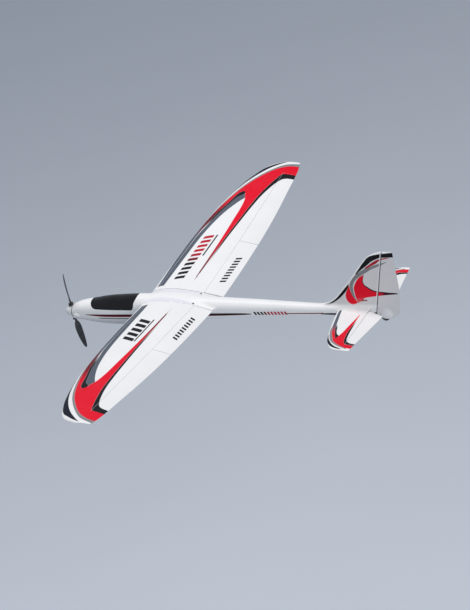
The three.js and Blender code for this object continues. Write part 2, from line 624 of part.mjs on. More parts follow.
add("motor_mount", motorMount, "black");
add("motor_stator", motorStator, "brass");
add("motor_bell", motorBell, "metal");
add("spinner_backplate", backplate, "black");
add("prop_yoke", inProp(yoke), "black");
add("spinner", spinner, "spinner");
add("prop_blade_a", inProp(bladeSolid), "blade");
add("prop_blade_b", inProp(halfTurn(bladeSolid)), "blade");

add("battery_tray", box([104, -13, 9.8], [216, 13, 12]), "black");
add("battery", box([105, -16, 12.4], [212, 16, 38]), "battery");
add("speed_controller", box([226, -11, 14], [264, 11, 22]), "black");
add("receiver", box([25, -11, 36], [67, 11, 48]), "black");

add("elevator_servo", elevatorServo, "servo");
add("elevator_servo_arm", elevatorArm, "foam");
add("elevator_pushrod", elevatorPushrod, "metal");
add("elevator_joiner", elevatorJoiner, "metal");
add("rudder_servo", rudderServo, "servo");
add("rudder_servo_arm", rudderArm, "foam");
add("rudder_pushrod", rudderPushrod, "metal");
add("rudder_horn", prism(rudderHornOutline(0), raked, -plateHalf, plateHalf), "black");

add("main_wheel_housing", mainWheelHousing, "black");
add("main_wheel_tyre", mainTyre, "tyre");
add("main_wheel_hub", mainHub, "foam");
add("main_wheel_axle", axleAt(mainWheel, 10.8, 1.5), "metal");
add("tail_wheel", tailTyre, "tyre");
add("tail_wheel_axle", axleAt(tailWheel, 6.4, 1), "metal");

export default plane;
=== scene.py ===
import math

import bpy
import numpy as np
from mathutils import Matrix, Vector


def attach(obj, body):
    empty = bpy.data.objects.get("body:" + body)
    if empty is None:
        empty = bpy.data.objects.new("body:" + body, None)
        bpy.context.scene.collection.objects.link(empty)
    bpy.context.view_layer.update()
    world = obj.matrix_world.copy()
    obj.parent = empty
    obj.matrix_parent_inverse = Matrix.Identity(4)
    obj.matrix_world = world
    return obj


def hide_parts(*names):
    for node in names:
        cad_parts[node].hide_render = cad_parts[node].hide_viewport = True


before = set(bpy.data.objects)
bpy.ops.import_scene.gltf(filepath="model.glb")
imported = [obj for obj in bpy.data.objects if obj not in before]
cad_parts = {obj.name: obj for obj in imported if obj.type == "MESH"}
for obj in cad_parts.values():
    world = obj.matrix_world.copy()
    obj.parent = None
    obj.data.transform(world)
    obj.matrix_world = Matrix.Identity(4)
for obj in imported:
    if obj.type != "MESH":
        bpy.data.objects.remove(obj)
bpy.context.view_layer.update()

# Looks of the powered foam sailplane. Shapes are worked out in millimetres: +X nose, +Y port, +Z up.
mm = 0.001


# ---- camera: a long lens above, behind and to port of the aircraft
cameraLook = {
    "place": (-6.4088, 10.6154, 6.2055),
    "right": (-0.892477, -0.393604, -0.220364),
    "up": (0.005947, -0.498736, 0.866734),
    "back": (-0.451053, 0.772230, 0.447451),
    "lens": 285.5,
}
camera = bpy.data.objects.new("camera", bpy.data.cameras.new("camera"))
bpy.context.collection.objects.link(camera)
camera.data.lens = cameraLook["lens"]
camera.data.sensor_width = 36
camera.data.clip_end = 60
turn = Matrix([cameraLook[key] for key in ("right", "up", "back")]).transposed().to_4x4()
camera.matrix_world = Matrix.Translation(cameraLook["place"]) @ turn
bpy.context.scene.camera = camera
bpy.context.scene.view_settings.view_transform = "Standard"
print("camera placed")


# ---- mesh helpers
def smoothThrough(points, at):
    # a cubic through the points; each slope is the harmonic mean of its neighbours, so it never overshoots
    knots, values = np.array(sorted(points), float).T
    gaps = np.diff(knots)
    rise = np.diff(values) / gaps
    slope = np.zeros(len(knots))
    product = rise[1:] * rise[:-1]
    same = product > 0
    slope[1:-1][same] = 2 * product[same] / (rise[1:] + rise[:-1])[same]
    slope[0], slope[-1] = rise[0], rise[-1]
    at = np.clip(at, knots[0], knots[-1])
    i = np.clip(np.searchsorted(knots, at) - 1, 0, len(knots) - 2)
    t = (at - knots[i]) / gaps[i]
    start = values[i] * (1 + 2 * t) * (1 - t) ** 2 + gaps[i] * slope[i] * t * (1 - t) ** 2
    end = values[i + 1] * t * t * (3 - 2 * t) + gaps[i] * slope[i + 1] * t * t * (t - 1)
    return start + end


def ringFaces(rings, wrap=False):
    # each section joins the next by quads; its first half pairs with its second half reversed at both ends
    rings = np.asarray(rings, float)
    count, around = rings.shape[:2]
    r, c = np.meshgrid(np.arange(count if wrap else count - 1), np.arange(around), indexing="ij")
    nextRow, nextColumn = (r + 1) % count, (c + 1) % around
    corners = (r * around + c, r * around + nextColumn, nextRow * around + nextColumn, nextRow * around + c)
    faces = np.stack(corners, -1).reshape(-1, 4)
    if not wrap:
        i = np.arange(around // 2 - 1)
        first = np.stack([around - 1 - i, around - 2 - i, i + 1, i], -1)
        last = np.stack([i, i + 1, around - 2 - i, around - 1 - i], -1) + (count - 1) * around
        faces = np.concatenate([faces, first, last])
    return rings.reshape(-1, 3), faces


def signedVolume(points, faces):
    a, b, c, d = (points[faces[:, k]] for k in range(4))
    return np.einsum("ij,ij->", a, np.cross(b, c)) + np.einsum("ij,ij->", a, np.cross(c, d))


def makeMesh(name, parts, sharp=38):
    # parts are closed skins as points and quads; each is turned outwards, then doubles are merged
    points, faces, offset = [], [], 0
    for partPoints, partFaces in parts:
        outward = signedVolume(partPoints, partFaces) > 0
        faces.append((partFaces if outward else partFaces[:, ::-1]) + offset)
        points.append(partPoints)
        offset += len(partPoints)
    points = np.concatenate(points) * mm
    faces = np.concatenate(faces)
    # points that coincide become one, and quads that lose a side become triangles or go
    _, first, same = np.unique(np.round(points, 7), axis=0, return_index=True, return_inverse=True)
    faces = same.reshape(-1)[faces]
    lines = []
    for quad in faces.tolist():
        kept = [v for k, v in enumerate(quad) if v != quad[k - 1]]
        if len(set(kept)) >= 3:
            lines.append(kept)
    mesh = bpy.data.meshes.new(name)
    mesh.from_pydata(points[first].tolist(), [], lines)
    mesh.validate()
    mesh.shade_smooth()
    mesh.set_sharp_from_angle(angle=math.radians(sharp))
    piece = bpy.data.objects.new(name, mesh)
    bpy.context.collection.objects.link(piece)
    return piece


def applyModifiers(piece, sharp=38):
    graph = bpy.context.evaluated_depsgraph_get()
    made = bpy.data.meshes.new_from_object(piece.evaluated_get(graph))
    old = piece.data
    piece.modifiers.clear()
    piece.data = made
    bpy.data.meshes.remove(old)
    made.shade_smooth()
    made.set_sharp_from_angle(angle=math.radians(sharp))


def combine(piece, parts, operation="DIFFERENCE"):
    tool = makeMesh("tool", parts)
    change = piece.modifiers.new("cut", "BOOLEAN")
    change.operation, change.object, change.solver = operation, tool, "EXACT"
    applyModifiers(piece)
    bpy.data.objects.remove(tool)


def block(low, high):
    (x0, y0, z0), (x1, y1, z1) = low, high
    lower = [(x0, y0, z0), (x1, y0, z0), (x1, y1, z0), (x0, y1, z0)]
    return ringFaces([lower, [(x, y, z1) for x, y, _ in lower]])


def prism(outline, low, high):
    # an outline of x and z, as pairs whose first half faces its second half, carried along y
    return ringFaces([[(x, y, z) for x, z in outline] for y in (low, high)])


def lathe(profile, centre, axis="y", steps=72):
    # a closed profile of (along, radius) turned once about an axis
    along, radius = np.array(profile, float).T
    angle = np.linspace(0, 2 * np.pi, steps, endpoint=False)[:, None]
    across, up = radius * np.cos(angle), radius * np.sin(angle)
    line = along + 0 * angle
    parts = (line, across, up) if axis == "x" else (across, line, up) if axis == "y" else (across, up, line)
    rings = np.stack(parts, -1) + np.array(centre, float)
    return ringFaces(rings, wrap=True)


def mirrored(parts):
    return [(points * (1, -1, 1), faces) for points, faces in parts]


def fit(piece, body, material, slot, *nodes):
    piece.data.materials.clear()
    piece.data.materials.append(material)
    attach(piece, body)
    if nodes:
        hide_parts(*nodes)
    return piece


def blendDown(a, b, width):
    # the smaller of two distances, with a fillet of the given width where they cross
    share = np.clip(0.5 + 0.5 * (b - a) / width, 0, 1)
    return b + (a - b) * share - width * share * (1 - share)


# ---- wing shape
wingShape = {
    "leading": [
        (0, 72), (150, 72), (250, 70.5), (311, 68.5), (400, 64), (450, 61), (500, 55), (550, 47), (600, 36),
        (650, 22), (683, 9), (700, 2), (725, -16), (738, -34), (748, -62),
    ],
    "trailing": [
        (0, -155), (150, -154), (311, -150), (400, -145.5), (500, -138), (600, -128), (700, -118),
        (748, -109),
    ],
    "root": 37.05, "cutEnd": 683.8, "tip": 748, "tipRound": 7, "hingeZ": 71, "dihedral": 3.38, "incidence": 3,
    "hinge": ((0, -98.5), (311, -94), (683, -80), (760, -77.1)),
}
dihedral = math.tan(math.radians(wingShape["dihedral"]))
incidence = math.tan(math.radians(wingShape["incidence"]))
flapShape = {"ends": (38.5, 310.5), "hinge": wingShape["hinge"][0:2], "bevel": 38, "y": 175, "travel": 35}
aileronShape = {"ends": (311.7, 683), "hinge": wingShape["hinge"][1:3], "bevel": 24, "y": 470, "travel": 20}


def hingeX(y):
    return np.interp(y, *zip(*wingShape["hinge"]))


def hingeZ(y):
    return wingShape["hingeZ"] + y * dihedral


def aerofoil(s, thickness, side):
    # four-digit section: 4% camber at 40% chord, plus or minus the thickness form
    camber = np.where(s < 0.4, 0.25 * (0.8 * s - s * s), (0.2 + 0.8 * s - s * s) / 9)
    form = 0.2969 * np.sqrt(s) - 0.126 * s - 0.3516 * s**2 + 0.2843 * s**3 - 0.1015 * s**4
    return camber + side * 5 * thickness * form


def roundedEnd(at, end, reach):
    # 1 up to a reach short of the end, then down to 0 as a quarter of an ellipse
    start = end - reach
    return np.sqrt(np.clip(1 - ((at - start) / reach) ** 2, 0, 1)) * (at > start) + (at <= start)


def wingHeight(x, y, side):
    # skin height above the ground plane; side is 1 on top and -1 underneath
    y = np.abs(y)
    nose = smoothThrough(wingShape["leading"], y)
    chord = nose - smoothThrough(wingShape["trailing"], y)
    thickness = 0.115 - 0.02 * np.clip((y - 400) / 350, 0, 1)
    hinge = (nose - hingeX(y)) / chord
    noseZ = hingeZ(y) + hinge * chord * incidence - aerofoil(hinge, thickness, 1) * chord
    s = np.clip((nose - x) / chord, 0, 1)
    thin = roundedEnd(y, wingShape["tip"], wingShape["tipRound"])
    middle = aerofoil(s, 0, 1)
    offset = (aerofoil(s, thickness, side) - middle) * chord + side * 0.35 * s
    return noseZ - s * chord * incidence + middle * chord + offset * thin


def hingeFrame(shape):
    # axes along a hinge line: to the rear, up, and outboard
    (y0, x0), (y1, x1) = shape["hinge"]
    origin = np.array([x0, y0, hingeZ(y0)])
    outboard = np.array([x1 - x0, y1 - y0, hingeZ(y1) - hingeZ(y0)])
    outboard /= np.linalg.norm(outboard)
    up = np.cross(outboard, (-1, 0, 0))
    up /= np.linalg.norm(up)
    return origin, np.cross(up, outboard), up, outboard


def hingeBlock(shape, u, w, v):
    # a box in a hinge's own axes: u to the rear, w up, v outboard from the linkage's section
    origin, rear, up, outboard = hingeFrame(shape)
    start = origin + outboard * (shape["y"] - origin[1]) / outboard[1]
    ring = [(u[0], w[0]), (u[1], w[0]), (u[1], w[1]), (u[0], w[1])]
    return ringFaces([[start + a * rear + b * up + c * outboard for a, b in ring] for c in v])


def hingeShift(shape, x, y, z):
    # a plane square to the hinge leaves y by this much at a point behind the hinge
    (y0, x0), (y1, x1) = shape["hinge"]
    return -(x - hingeX(y)) * (x1 - x0) / (y1 - y0) - (z - hingeZ(y)) * dihedral


def wingPanel():
    # sections across the span; behind the hinge they fold onto the rear face until the fixed tip begins
    aft, chordwise, cutRows = 14, 44, 190
    cutEnd, tipRound = wingShape["cutEnd"], wingShape["tipRound"]
    tipStart = wingShape["tip"] - tipRound
    spans = [np.linspace(wingShape["root"], cutEnd, cutRows), np.linspace(cutEnd, tipStart, 30)]
    spans.append(tipStart + tipRound * np.sin(np.linspace(0, 1, 10)[1:] * np.pi / 2))
    y = np.concatenate(spans)[:, None]
    cutOpen = np.zeros_like(y, bool)
    cutOpen[:cutRows] = True
    nose = smoothThrough(wingShape["leading"], y)
    tail = smoothThrough(wingShape["trailing"], y)
    post = hingeX(y) + 0.4
    t = np.linspace(0, 1, chordwise)[None]
    fore = nose + (post - nose) * t**1.7
    back = np.linspace(0, 1, aft + 1)[None, 1:]
    rear = np.where(cutOpen, post, post + (tail - post) * back)
    x = np.concatenate([rear[:, ::-1], fore[:, ::-1], fore, rear], 1)
    side = np.concatenate([np.ones(aft + chordwise), -np.ones(aft + chordwise)])[None]
    # behind the hinge the fixed tip starts square to it, and this slant fades out along the span
    slant, fadeLength = 0.0376, 40
    flare = np.clip(1 - (y - cutEnd) / fadeLength, 0, 1) * ~cutOpen
    wide = y + np.clip(hingeX(y) - x, 0, None) * slant * flare
    z = wingHeight(x, wide, side)
    top, low = wingHeight(post, y, 1), wingHeight(post, y, -1)
    middle = (top + low) / 2
    face = np.concatenate([middle + (top - middle) * (1 - back), middle + (low - middle) * (1 - back)], 1)
    z[:, :aft] = np.where(cutOpen, face[:, :aft][:, ::-1], z[:, :aft])
    z[:, -aft:] = np.where(cutOpen, face[:, aft:], z[:, -aft:])
    return ringFaces(np.stack([x, wide, z], -1))


def controlSurface(shape):
    # top skin from the trailing edge to the hinge, a straight bevel down, and the lower skin back
    inner, outer = shape["ends"]
    line = np.linspace(inner, outer, 110)[:, None]
    count = 24
    t = np.linspace(0, 1, count)[None]
    apexX, apexZ = hingeX(line), hingeZ(line)
    lean = math.tan(math.radians(shape["bevel"]))
    foot = apexX - 7
    for _ in range(6):
        foot = apexX - (apexZ - wingHeight(foot, line, -1)) * lean
    skins = []
    for start, side in ((apexX, 1), (foot, -1)):
        y = line + 0 * t
        for _ in range(3):
            tail = smoothThrough(wingShape["trailing"], y)
            x = start + (tail - start) * t
            z = wingHeight(x, y, side)
            y = line + hingeShift(shape, x, line, z)
        skins.append(np.stack([x, y, z], -1))
    return ringFaces(np.concatenate([skins[0][:, ::-1], skins[1]], 1))


# reaches of a servo's pocket and a horn's notch along a hinge's own axes, the horn's length and its clearance
linkShape = {
    "pocket": ((-72.3, -43), (-60, 2.15), (-20.5, 5)), "notchUp": (-40, -7), "notchHalf": 1.3,
    "horn": 21, "clear": 3,
}


def linkageRoom(shape):
    swing = linkShape["horn"] * math.sin(math.radians(shape["travel"])) + linkShape["clear"]
    across = (-linkShape["notchHalf"], linkShape["notchHalf"])
    notch = hingeBlock(shape, (-swing, 2), linkShape["notchUp"], across)
    return [hingeBlock(shape, *linkShape["pocket"]), notch]


# ---- fuselage shape
bodyStations = [  # x, centre height, half width, half height, wall
    (314.4, 32.1, 21.5, 21.6, 5.5), (300, 34.4, 24.6, 25.4, 5.5), (285, 36.6, 27, 28.4, 5.5),
    (262, 37, 29.8, 32.6, 5.5), (236, 37, 32, 37, 6), (205, 38, 34, 41.3, 6), (170, 39, 35, 44, 6),
    (131, 40.8, 35.2, 44.6, 6), (97, 42.6, 35, 44.1, 6), (62, 43.8, 35, 43, 6), (0, 44.8, 34.5, 42.6, 6),
    (-60, 45.5, 33, 37.5, 6), (-98, 46.5, 31.5, 34.5, 6), (-138, 46.5, 29.8, 31, 5.5),
    (-198, 46.5, 27.5, 28, 5), (-258, 46.4, 25.2, 25.2, 4.5), (-398, 43.8, 20, 20, 4),
    (-478, 42.2, 17.5, 17.7, 3.6), (-538, 42, 14.2, 17.2, 3.4), (-598, 42, 10.2, 17, 3.2),
    (-634, 42, 8, 17, 3), (-652, 42, 6, 17, 3), (-720, 42, 6, 17, 3),
]
finShape = {
    "edge": [
        (40, -472), (61, -484), (66, -505), (76.5, -525), (93, -543), (112, -562), (131, -582),
        (153.5, -602), (176.5, -622), (198, -642), (213.7, -661), (222, -679), (228, -702),
    ],
    "hingeFoot": (-654.5, 53), "hingeTop": (-707, 227.5), "top": 228,
}
tailShape = {
    "leading": [
        (0, -536), (25, -538), (63, -544), (114, -554), (153, -564), (180, -572.6), (204, -586), (221, -601),
        (230, -621), (234, -645),
    ],
    "trailing": [(0, -693), (44, -687), (202, -664), (234, -660)],
    "z": 45.5, "hinge": -634.5, "stub": 15.2, "root": 15.55, "elevatorEnd": 202, "tip": 234, "tipRound": 4,
    "bevel": 28, "rootHalf": 4.6, "taper": 2.2,
}
superPower = 2 / 0.92  # a little squarer than an ellipse
denseX = np.arange(-720, 315.5, 1.0)
bodyTable = [smoothThrough([(row[0], row[k]) for row in bodyStations], denseX) for k in range(1, 5)]


def bodyAt(x):
    return [np.interp(x, denseX, column) for column in bodyTable]


def rakeX(z):
    (x0, z0), (x1, z1) = finShape["hingeFoot"], finShape["hingeTop"]
    return x0 + (z - z0) * (x1 - x0) / (z1 - z0)


def finHalf(z):
    return 4.4 - 1.4 * (z - 40) / 190


def tailForm(s):
    return (0.2969 * np.sqrt(s) - 0.126 * s - 0.3516 * s**2 + 0.2843 * s**3 - 0.1015 * s**4) / 0.1 + 0.09 * s


def tailHalf(x, y):
    # half thickness of the tailplane at a point of its plan
    y = np.abs(y)
    nose = smoothThrough(tailShape["leading"], y)
    chord = nose - smoothThrough(tailShape["trailing"], y)
    s = np.clip((nose - x) / chord, 0, 1)
    thin = roundedEnd(y, tailShape["tip"], tailShape["tipRound"])
    return (tailShape["rootHalf"] - tailShape["taper"] * y / tailShape["tip"]) * tailForm(s) * thin


def slab(x, y, z, nose, tail, middle, half, end):
    # distance outside a flat body with a rounded edge
    over = np.abs(z - middle) - half
    beyond = np.maximum(np.maximum(x - nose, tail - x), 0)
    flat = np.where(beyond > 0, np.hypot(np.maximum(over, 0), beyond), over)
    return -blendDown(-flat, -(np.abs(y) - end), 2.5)


def hullField(x, y, z):
    # distance outside the foam: body tube, wing stub, tail stub, fin and cheek scoops joined by fillets
    centre, width, height, _ = bodyAt(x)
    powers = np.abs(y / width) ** superPower + np.abs((z - centre) / height) ** superPower
    reach = powers ** (1 / superPower)
    tube = (reach - 1) * np.minimum(width, height)
    span = np.minimum(np.abs(y), wingShape["root"])
    top, low = wingHeight(x, span, 1), wingHeight(x, span, -1)
    wing = slab(x, y, z, 72, -155, (top + low) / 2, (top - low) / 2, 36.6)
    tail = slab(x, y, z, -536.5, -692, tailShape["z"], tailHalf(x, np.minimum(np.abs(y), 15)), 15.1)
    nose = smoothThrough(finShape["edge"], z)
    s = (nose - x) / np.maximum(nose - rakeX(z), 1)
    form = np.where(s < 0.4, np.sqrt(np.clip(1 - (1 - s / 0.4) ** 2, 0, 1)), 1 - 0.1 * (s - 0.4) / 0.6)
    ahead = np.maximum(x - nose, 0) * 0.7
    fin = np.where(ahead > 0, np.hypot(y, ahead), np.abs(y) - finHalf(z) * form)
    fin = np.where((x < -430) & (z > 35), fin, 50)
    scoop = (np.sqrt(((x - 296) / 12) ** 2 + ((np.abs(y) - 23) / 6.4) ** 2 + ((z - 31.5) / 6) ** 2) - 1) * 5.5
    solid = blendDown(tube, wing, 9)
    solid = blendDown(solid, tail, 4)
    solid = blendDown(solid, fin, 7)
    return blendDown(solid, scoop, 2)


def castRays(x, originZ, alongY, alongZ, reach):
    # how far each ray goes from the middle plane to its last crossing of the skin
    steps = np.linspace(0, reach, 61)
    last = np.full(x.shape, -1.0)
    for step in steps:
        inside = hullField(x, alongY * step, originZ + alongZ * step) < 0
        last = np.where(inside, step, last)
    low, high = last, last + steps[1]
    for _ in range(9):
        middle = (low + high) / 2
        inside = hullField(x, alongY * middle, originZ + alongZ * middle) < 0
        low, high = np.where(inside, middle, low), np.where(inside, high, middle)
    return np.where(last >= 0, (low + high) / 2, 0)


def fuselageHalf():
    # port half: rays from the middle line go round the tube, and above it they go level up the fin
    around, above, turnTop = 44, 34, math.radians(50)
    stretches = [(314.4, 247, 34), (247, 100, 54), (100, -160, 130), (-160, -440, 56), (-440, -653.5, 100)]
    lines = [np.linspace(a, b, n, endpoint=False) for a, b, n in stretches] + [[stretches[-1][1]]]
    line = np.concatenate(lines)[:, None]
    centre, width, height, wall = bodyAt(line)
    rear = np.clip((-440 - line) / 60, 0, 1)
    rear = rear * rear * (3 - 2 * rear)
    lean = np.clip((-560 - line) / 93.5, 0, 1)
    tall = np.linspace(20, finShape["top"], 417)[None]
    inFin = line + lean * (rakeX(tall) - rakeX(45)) < smoothThrough(finShape["edge"], tall)
    finTop = np.where(inFin & (line < -462), tall, 0).max(1, keepdims=True)
    top = np.maximum(centre + height, finTop)
    angle = np.linspace(-np.pi / 2, turnTop, around)[None] + 0 * line
    more = np.linspace(turnTop, np.pi / 2, above + 1)[None, 1:]
    angle = np.concatenate([angle, more * (1 - rear)], 1)
    start = centre + height * math.sin(turnTop)
    share = np.sin(np.linspace(0, np.pi / 2, above + 1))[None, 1:]
    lifted = centre + rear * (start + (top - start) * share - centre)
    origin = np.concatenate([centre + 0 * angle[:, :around], lifted], 1)
    level = np.concatenate([centre + height * np.sin(angle[:, :around]), start + (top - start) * share], 1)
    x = line + lean * (rakeX(np.maximum(level, 30)) - rakeX(45))
    x[-1] = rakeX(level[-1]) + 0.6
    cast = castRays(x, origin, np.cos(angle), np.sin(angle), 84)
    cast[line[:, 0] > 313.9] -= 0.7  # a small chamfer round the front edge
    y = np.clip(cast * np.cos(angle), 0.03, 36.7)
    y = np.where(x < -536, np.minimum(y, tailShape["stub"]), y)
    z = origin + cast * np.sin(angle)
    turning = ((rear > 0) & (rear < 1))[:, 0]
    ridge = centre + castRays(x[:, -1:], centre, 0 * centre, 0 * centre + 1, 84)
    y[turning, -1] = 0.03
    z[turning, -1] = ridge[turning, 0]
    x = np.maximum(x, rakeX(z) + 0.6)  # nothing reaches past the raked rudder post
    outer = np.stack([x, y, z], -1)
    # the hollow follows the tube at the wall's depth and closes in front of the rudder post
    spread = np.linspace(-np.pi / 2, np.pi / 2, around)[None]
    innerAngle = np.concatenate([angle[:, :around] * (1 - rear) + spread * rear, angle[:, around:]], 1)
    powers = np.abs(np.cos(innerAngle)) ** superPower + np.abs(np.sin(innerAngle)) ** superPower
    unit = powers ** (-1 / superPower)
    closed = np.clip((line + 637) / 3, 0, 1)
    innerY = np.maximum((width - wall) * closed * np.cos(innerAngle) * unit, 0.03)
    innerZ = centre + (height - wall) * closed * np.sin(innerAngle) * unit
    hollowTop = innerZ[:, around - 1:around]
    seamZ = hollowTop + (z[:, around:] - hollowTop) * np.linspace(0, 1, above + 1)[None, 1:]
    innerZ[:, around:] += rear * (seamZ - innerZ[:, around:])
    innerY[:, around:] += rear * (0.03 - innerY[:, around:])
    inner = np.stack([np.maximum(x, rakeX(innerZ) + 0.6), innerY, innerZ], -1)
    return ringFaces(np.concatenate([outer, inner[:, ::-1]], 1))


# ---- canopy hatch and its opening
hatchShape = {"floor": 54.3, "front": 247, "corner": 19, "wall": 5, "gap": 0.45}


def hatchFront(z, grow=0.0):
    corner = hatchShape["corner"]
    drop = np.clip(corner - (z - hatchShape["floor"] + grow), 0, corner)
    return hatchShape["front"] + grow - corner + np.sqrt(corner**2 - drop**2)


def hatchRear(z, grow=0.0):
    return np.interp(z, [53, 55, 58, 63, 74, 88, 110], [113, 108.5, 105.5, 103.5, 102, 93.5, 91]) - grow


def hatchOpening():
    grow = hatchShape["gap"]
    rise = hatchShape["corner"] * (1 - np.cos(np.linspace(0, np.pi / 2, 9)))
    heights = np.concatenate([hatchShape["floor"] - grow + rise, [88, 110]])
    front = [(float(hatchFront(z, grow)), float(z)) for z in heights]
    rear = [(float(hatchRear(z, grow)), float(z)) for z in heights]
    return prism(front + rear[::-1], -60, 60)


def hatchShell():
    # rays from the floor line over the top, between the raked rear edge and the rounded front
    b = np.linspace(0, 1, 90)[:, None]
    a = np.linspace(0, np.pi, 96)[None]
    floor = hatchShape["floor"]
    x = hatchRear(floor) + b * (hatchShape["front"] - hatchRear(floor)) + 0 * a
    for _ in range(4):
        cast = castRays(x, floor + 0 * x, np.cos(a) + 0 * x, np.sin(a) + 0 * x, 60)
        z = floor + cast * np.sin(a)
        x = hatchRear(z) + b * (hatchFront(z) - hatchRear(z))
    inside = np.maximum(cast - hatchShape["wall"], 1)
    outer = np.stack([x, cast * np.cos(a), z], -1)
    inner = np.stack([x, inside * np.cos(a), floor + inside * np.sin(a)], -1)
    return ringFaces(np.concatenate([outer, inner[:, ::-1]], 1))


# ---- tail surfaces
def stabilizerHalf():
    aft, chordwise, cutRows = 10, 30, 90
    cutEnd, tipRound = tailShape["elevatorEnd"] + 0.9, tailShape["tipRound"]
    tipStart = tailShape["tip"] - tipRound
    spans = [np.linspace(tailShape["root"], cutEnd, cutRows), np.linspace(cutEnd, tipStart, 24)]
    spans.append(tipStart + tipRound * np.sin(np.linspace(0, 1, 8)[1:] * np.pi / 2))
    y = np.concatenate(spans)[:, None]
    cutOpen = np.zeros_like(y, bool)
    cutOpen[:cutRows] = True
    nose = smoothThrough(tailShape["leading"], y)
    tail = smoothThrough(tailShape["trailing"], y)
    post = tailShape["hinge"] + 0.5 + 0 * y
    t = np.linspace(0, 1, chordwise)[None]
    fore = nose + (post - nose) * t**1.8
    back = np.linspace(0, 1, aft + 1)[None, 1:]
    rear = np.where(cutOpen, post, post + (tail - post) * back)
    xHalf = np.concatenate([rear[:, ::-1], fore[:, ::-1]], 1)
    half = tailHalf(xHalf, y)
    half[:, :aft] = np.where(cutOpen, tailHalf(post, y) * (1 - back[:, ::-1]), half[:, :aft])
    top = np.stack([xHalf, y + 0 * xHalf, tailShape["z"] + half], -1)
    low = np.stack([xHalf, y + 0 * xHalf, tailShape["z"] - half], -1)
    return ringFaces(np.concatenate([top, low[:, ::-1]], 1))


def elevatorHalf():
    # a double bevel starts at the hinge line, and the inner edge slants out to clear the rudder
    b = np.linspace(0, 1, 80)[:, None]
    t = np.linspace(0, 1, 22)[None]
    hinge = tailShape["hinge"]
    y = 20.5 + b * (tailShape["elevatorEnd"] - 20.5) + 0 * t
    for _ in range(4):
        tail = smoothThrough(tailShape["trailing"], y)
        x = hinge - 0.05 + (tail - hinge) * t**1.3
        inner = np.where(x > -641, 20.5 + (hinge - x) / 6.5, 21.5 + (-641 - x) * 28.5 / 59)
        y = inner + b * (tailShape["elevatorEnd"] - inner)
    half = np.minimum(tailHalf(x, y), (hinge - x) / math.tan(math.radians(tailShape["bevel"])) + 0.05)
    top = np.stack([x, y, tailShape["z"] + half], -1)
    low = np.stack([x, y, tailShape["z"] - half], -1)
    return ringFaces(np.concatenate([top[:, ::-1], low], 1))


rudderShape = {
    "trailing": [
        (14, -689), (17, -698), (21, -708), (26, -716), (32, -719.5), (40, -721.5), (70, -727), (112, -734.5),
        (151, -736), (190, -737), (228, -739.5),
    ],
    "bevel": 32, "footZ": 24, "footDepth": 10, "topRound": 6, "wheel": (-673, 20),
}


def rudderBlade():
    # level sections from the hinge bevel to the trailing edge, swollen round the tail wheel at the foot
    footZ, footDepth, topRound = (rudderShape[key] for key in ("footZ", "footDepth", "topRound"))
    topStart = finShape["top"] - topRound
    levels = [footZ - footDepth * np.cos(np.linspace(0, np.pi / 2, 16))]
    levels.append(np.linspace(footZ, topStart, 100)[1:])
    levels.append(topStart + topRound * np.sin(np.linspace(0, np.pi / 2, 8))[1:])
    z = np.concatenate(levels)[:, None]
    drop = np.clip((footZ - z) / footDepth, 0, 1)
    footRound = (1 - drop**2.6) ** (1 / 2.6)
    tip = -678 + (rakeX(z) + 678) * footRound
    tail = smoothThrough(rudderShape["trailing"], z)
    t = np.linspace(0, 1, 40)[None]
    x = tip + (tail - tip) * t
    half = finHalf(z) * 0.9
    bevel = (tip - x) / math.tan(math.radians(rudderShape["bevel"]))
    taper = half * (1 - 0.83 * np.clip((tip - 3 - x) / (tip - 3 - tail), 0, 1) ** 1.15)
    plate = np.minimum(taper, bevel + 0.05) * np.clip(footRound * 1.4, 0, 1)
    swell = 11.8 * np.sqrt(np.clip(1 - ((x + 680) / 21) ** 2 - ((z - 30) / 15.5) ** 2, 0, 1))
    half = -blendDown(-plate, -swell, 1.2) * (swell > 0) + plate * (swell <= 0)
    half = half * (0.25 + 0.75 * roundedEnd(z, finShape["top"], topRound))
    right = np.stack([x, -half, z + 0 * x], -1)
    left = np.stack([x, half, z + 0 * x], -1)
    return ringFaces(np.concatenate([right[:, ::-1], left], 1))


# ---- material helpers
def addNode(tree, kind, inputs=None, **settings):
    node = tree.nodes.new("ShaderNode" + kind)
    for key, value in settings.items():
        setattr(node, key, value)
    for key, value in (inputs or {}).items():
        if isinstance(value, bpy.types.NodeSocket):
            tree.links.new(value, node.inputs[key])
        else:
            node.inputs[key].default_value = value
    return node


def calc(tree, operation, first, second=0.0, clamp=False):
    return addNode(tree, "Math", {0: first, 1: second}, operation=operation, use_clamp=clamp).outputs[0]


def both(tree, first, second):
    # where two masks overlap
    return calc(tree, "MULTIPLY", first, second)


def between(tree, across, low, high, soft):
    # 1 where across lies between low and high, with an edge of the given softness
    rise = calc(tree, "DIVIDE", calc(tree, "SUBTRACT", across, low), soft)
    fall = calc(tree, "DIVIDE", calc(tree, "SUBTRACT", high, across), soft)
    least = calc(tree, "MINIMUM", rise, fall)
    return calc(tree, "ADD", least, 0.5, clamp=True)


def ramp(tree, value, start, end):
    return addNode(tree, "MapRange", {"Value": value, "From Min": start, "From Max": end},
                   interpolation_type="SMOOTHSTEP").outputs[0]


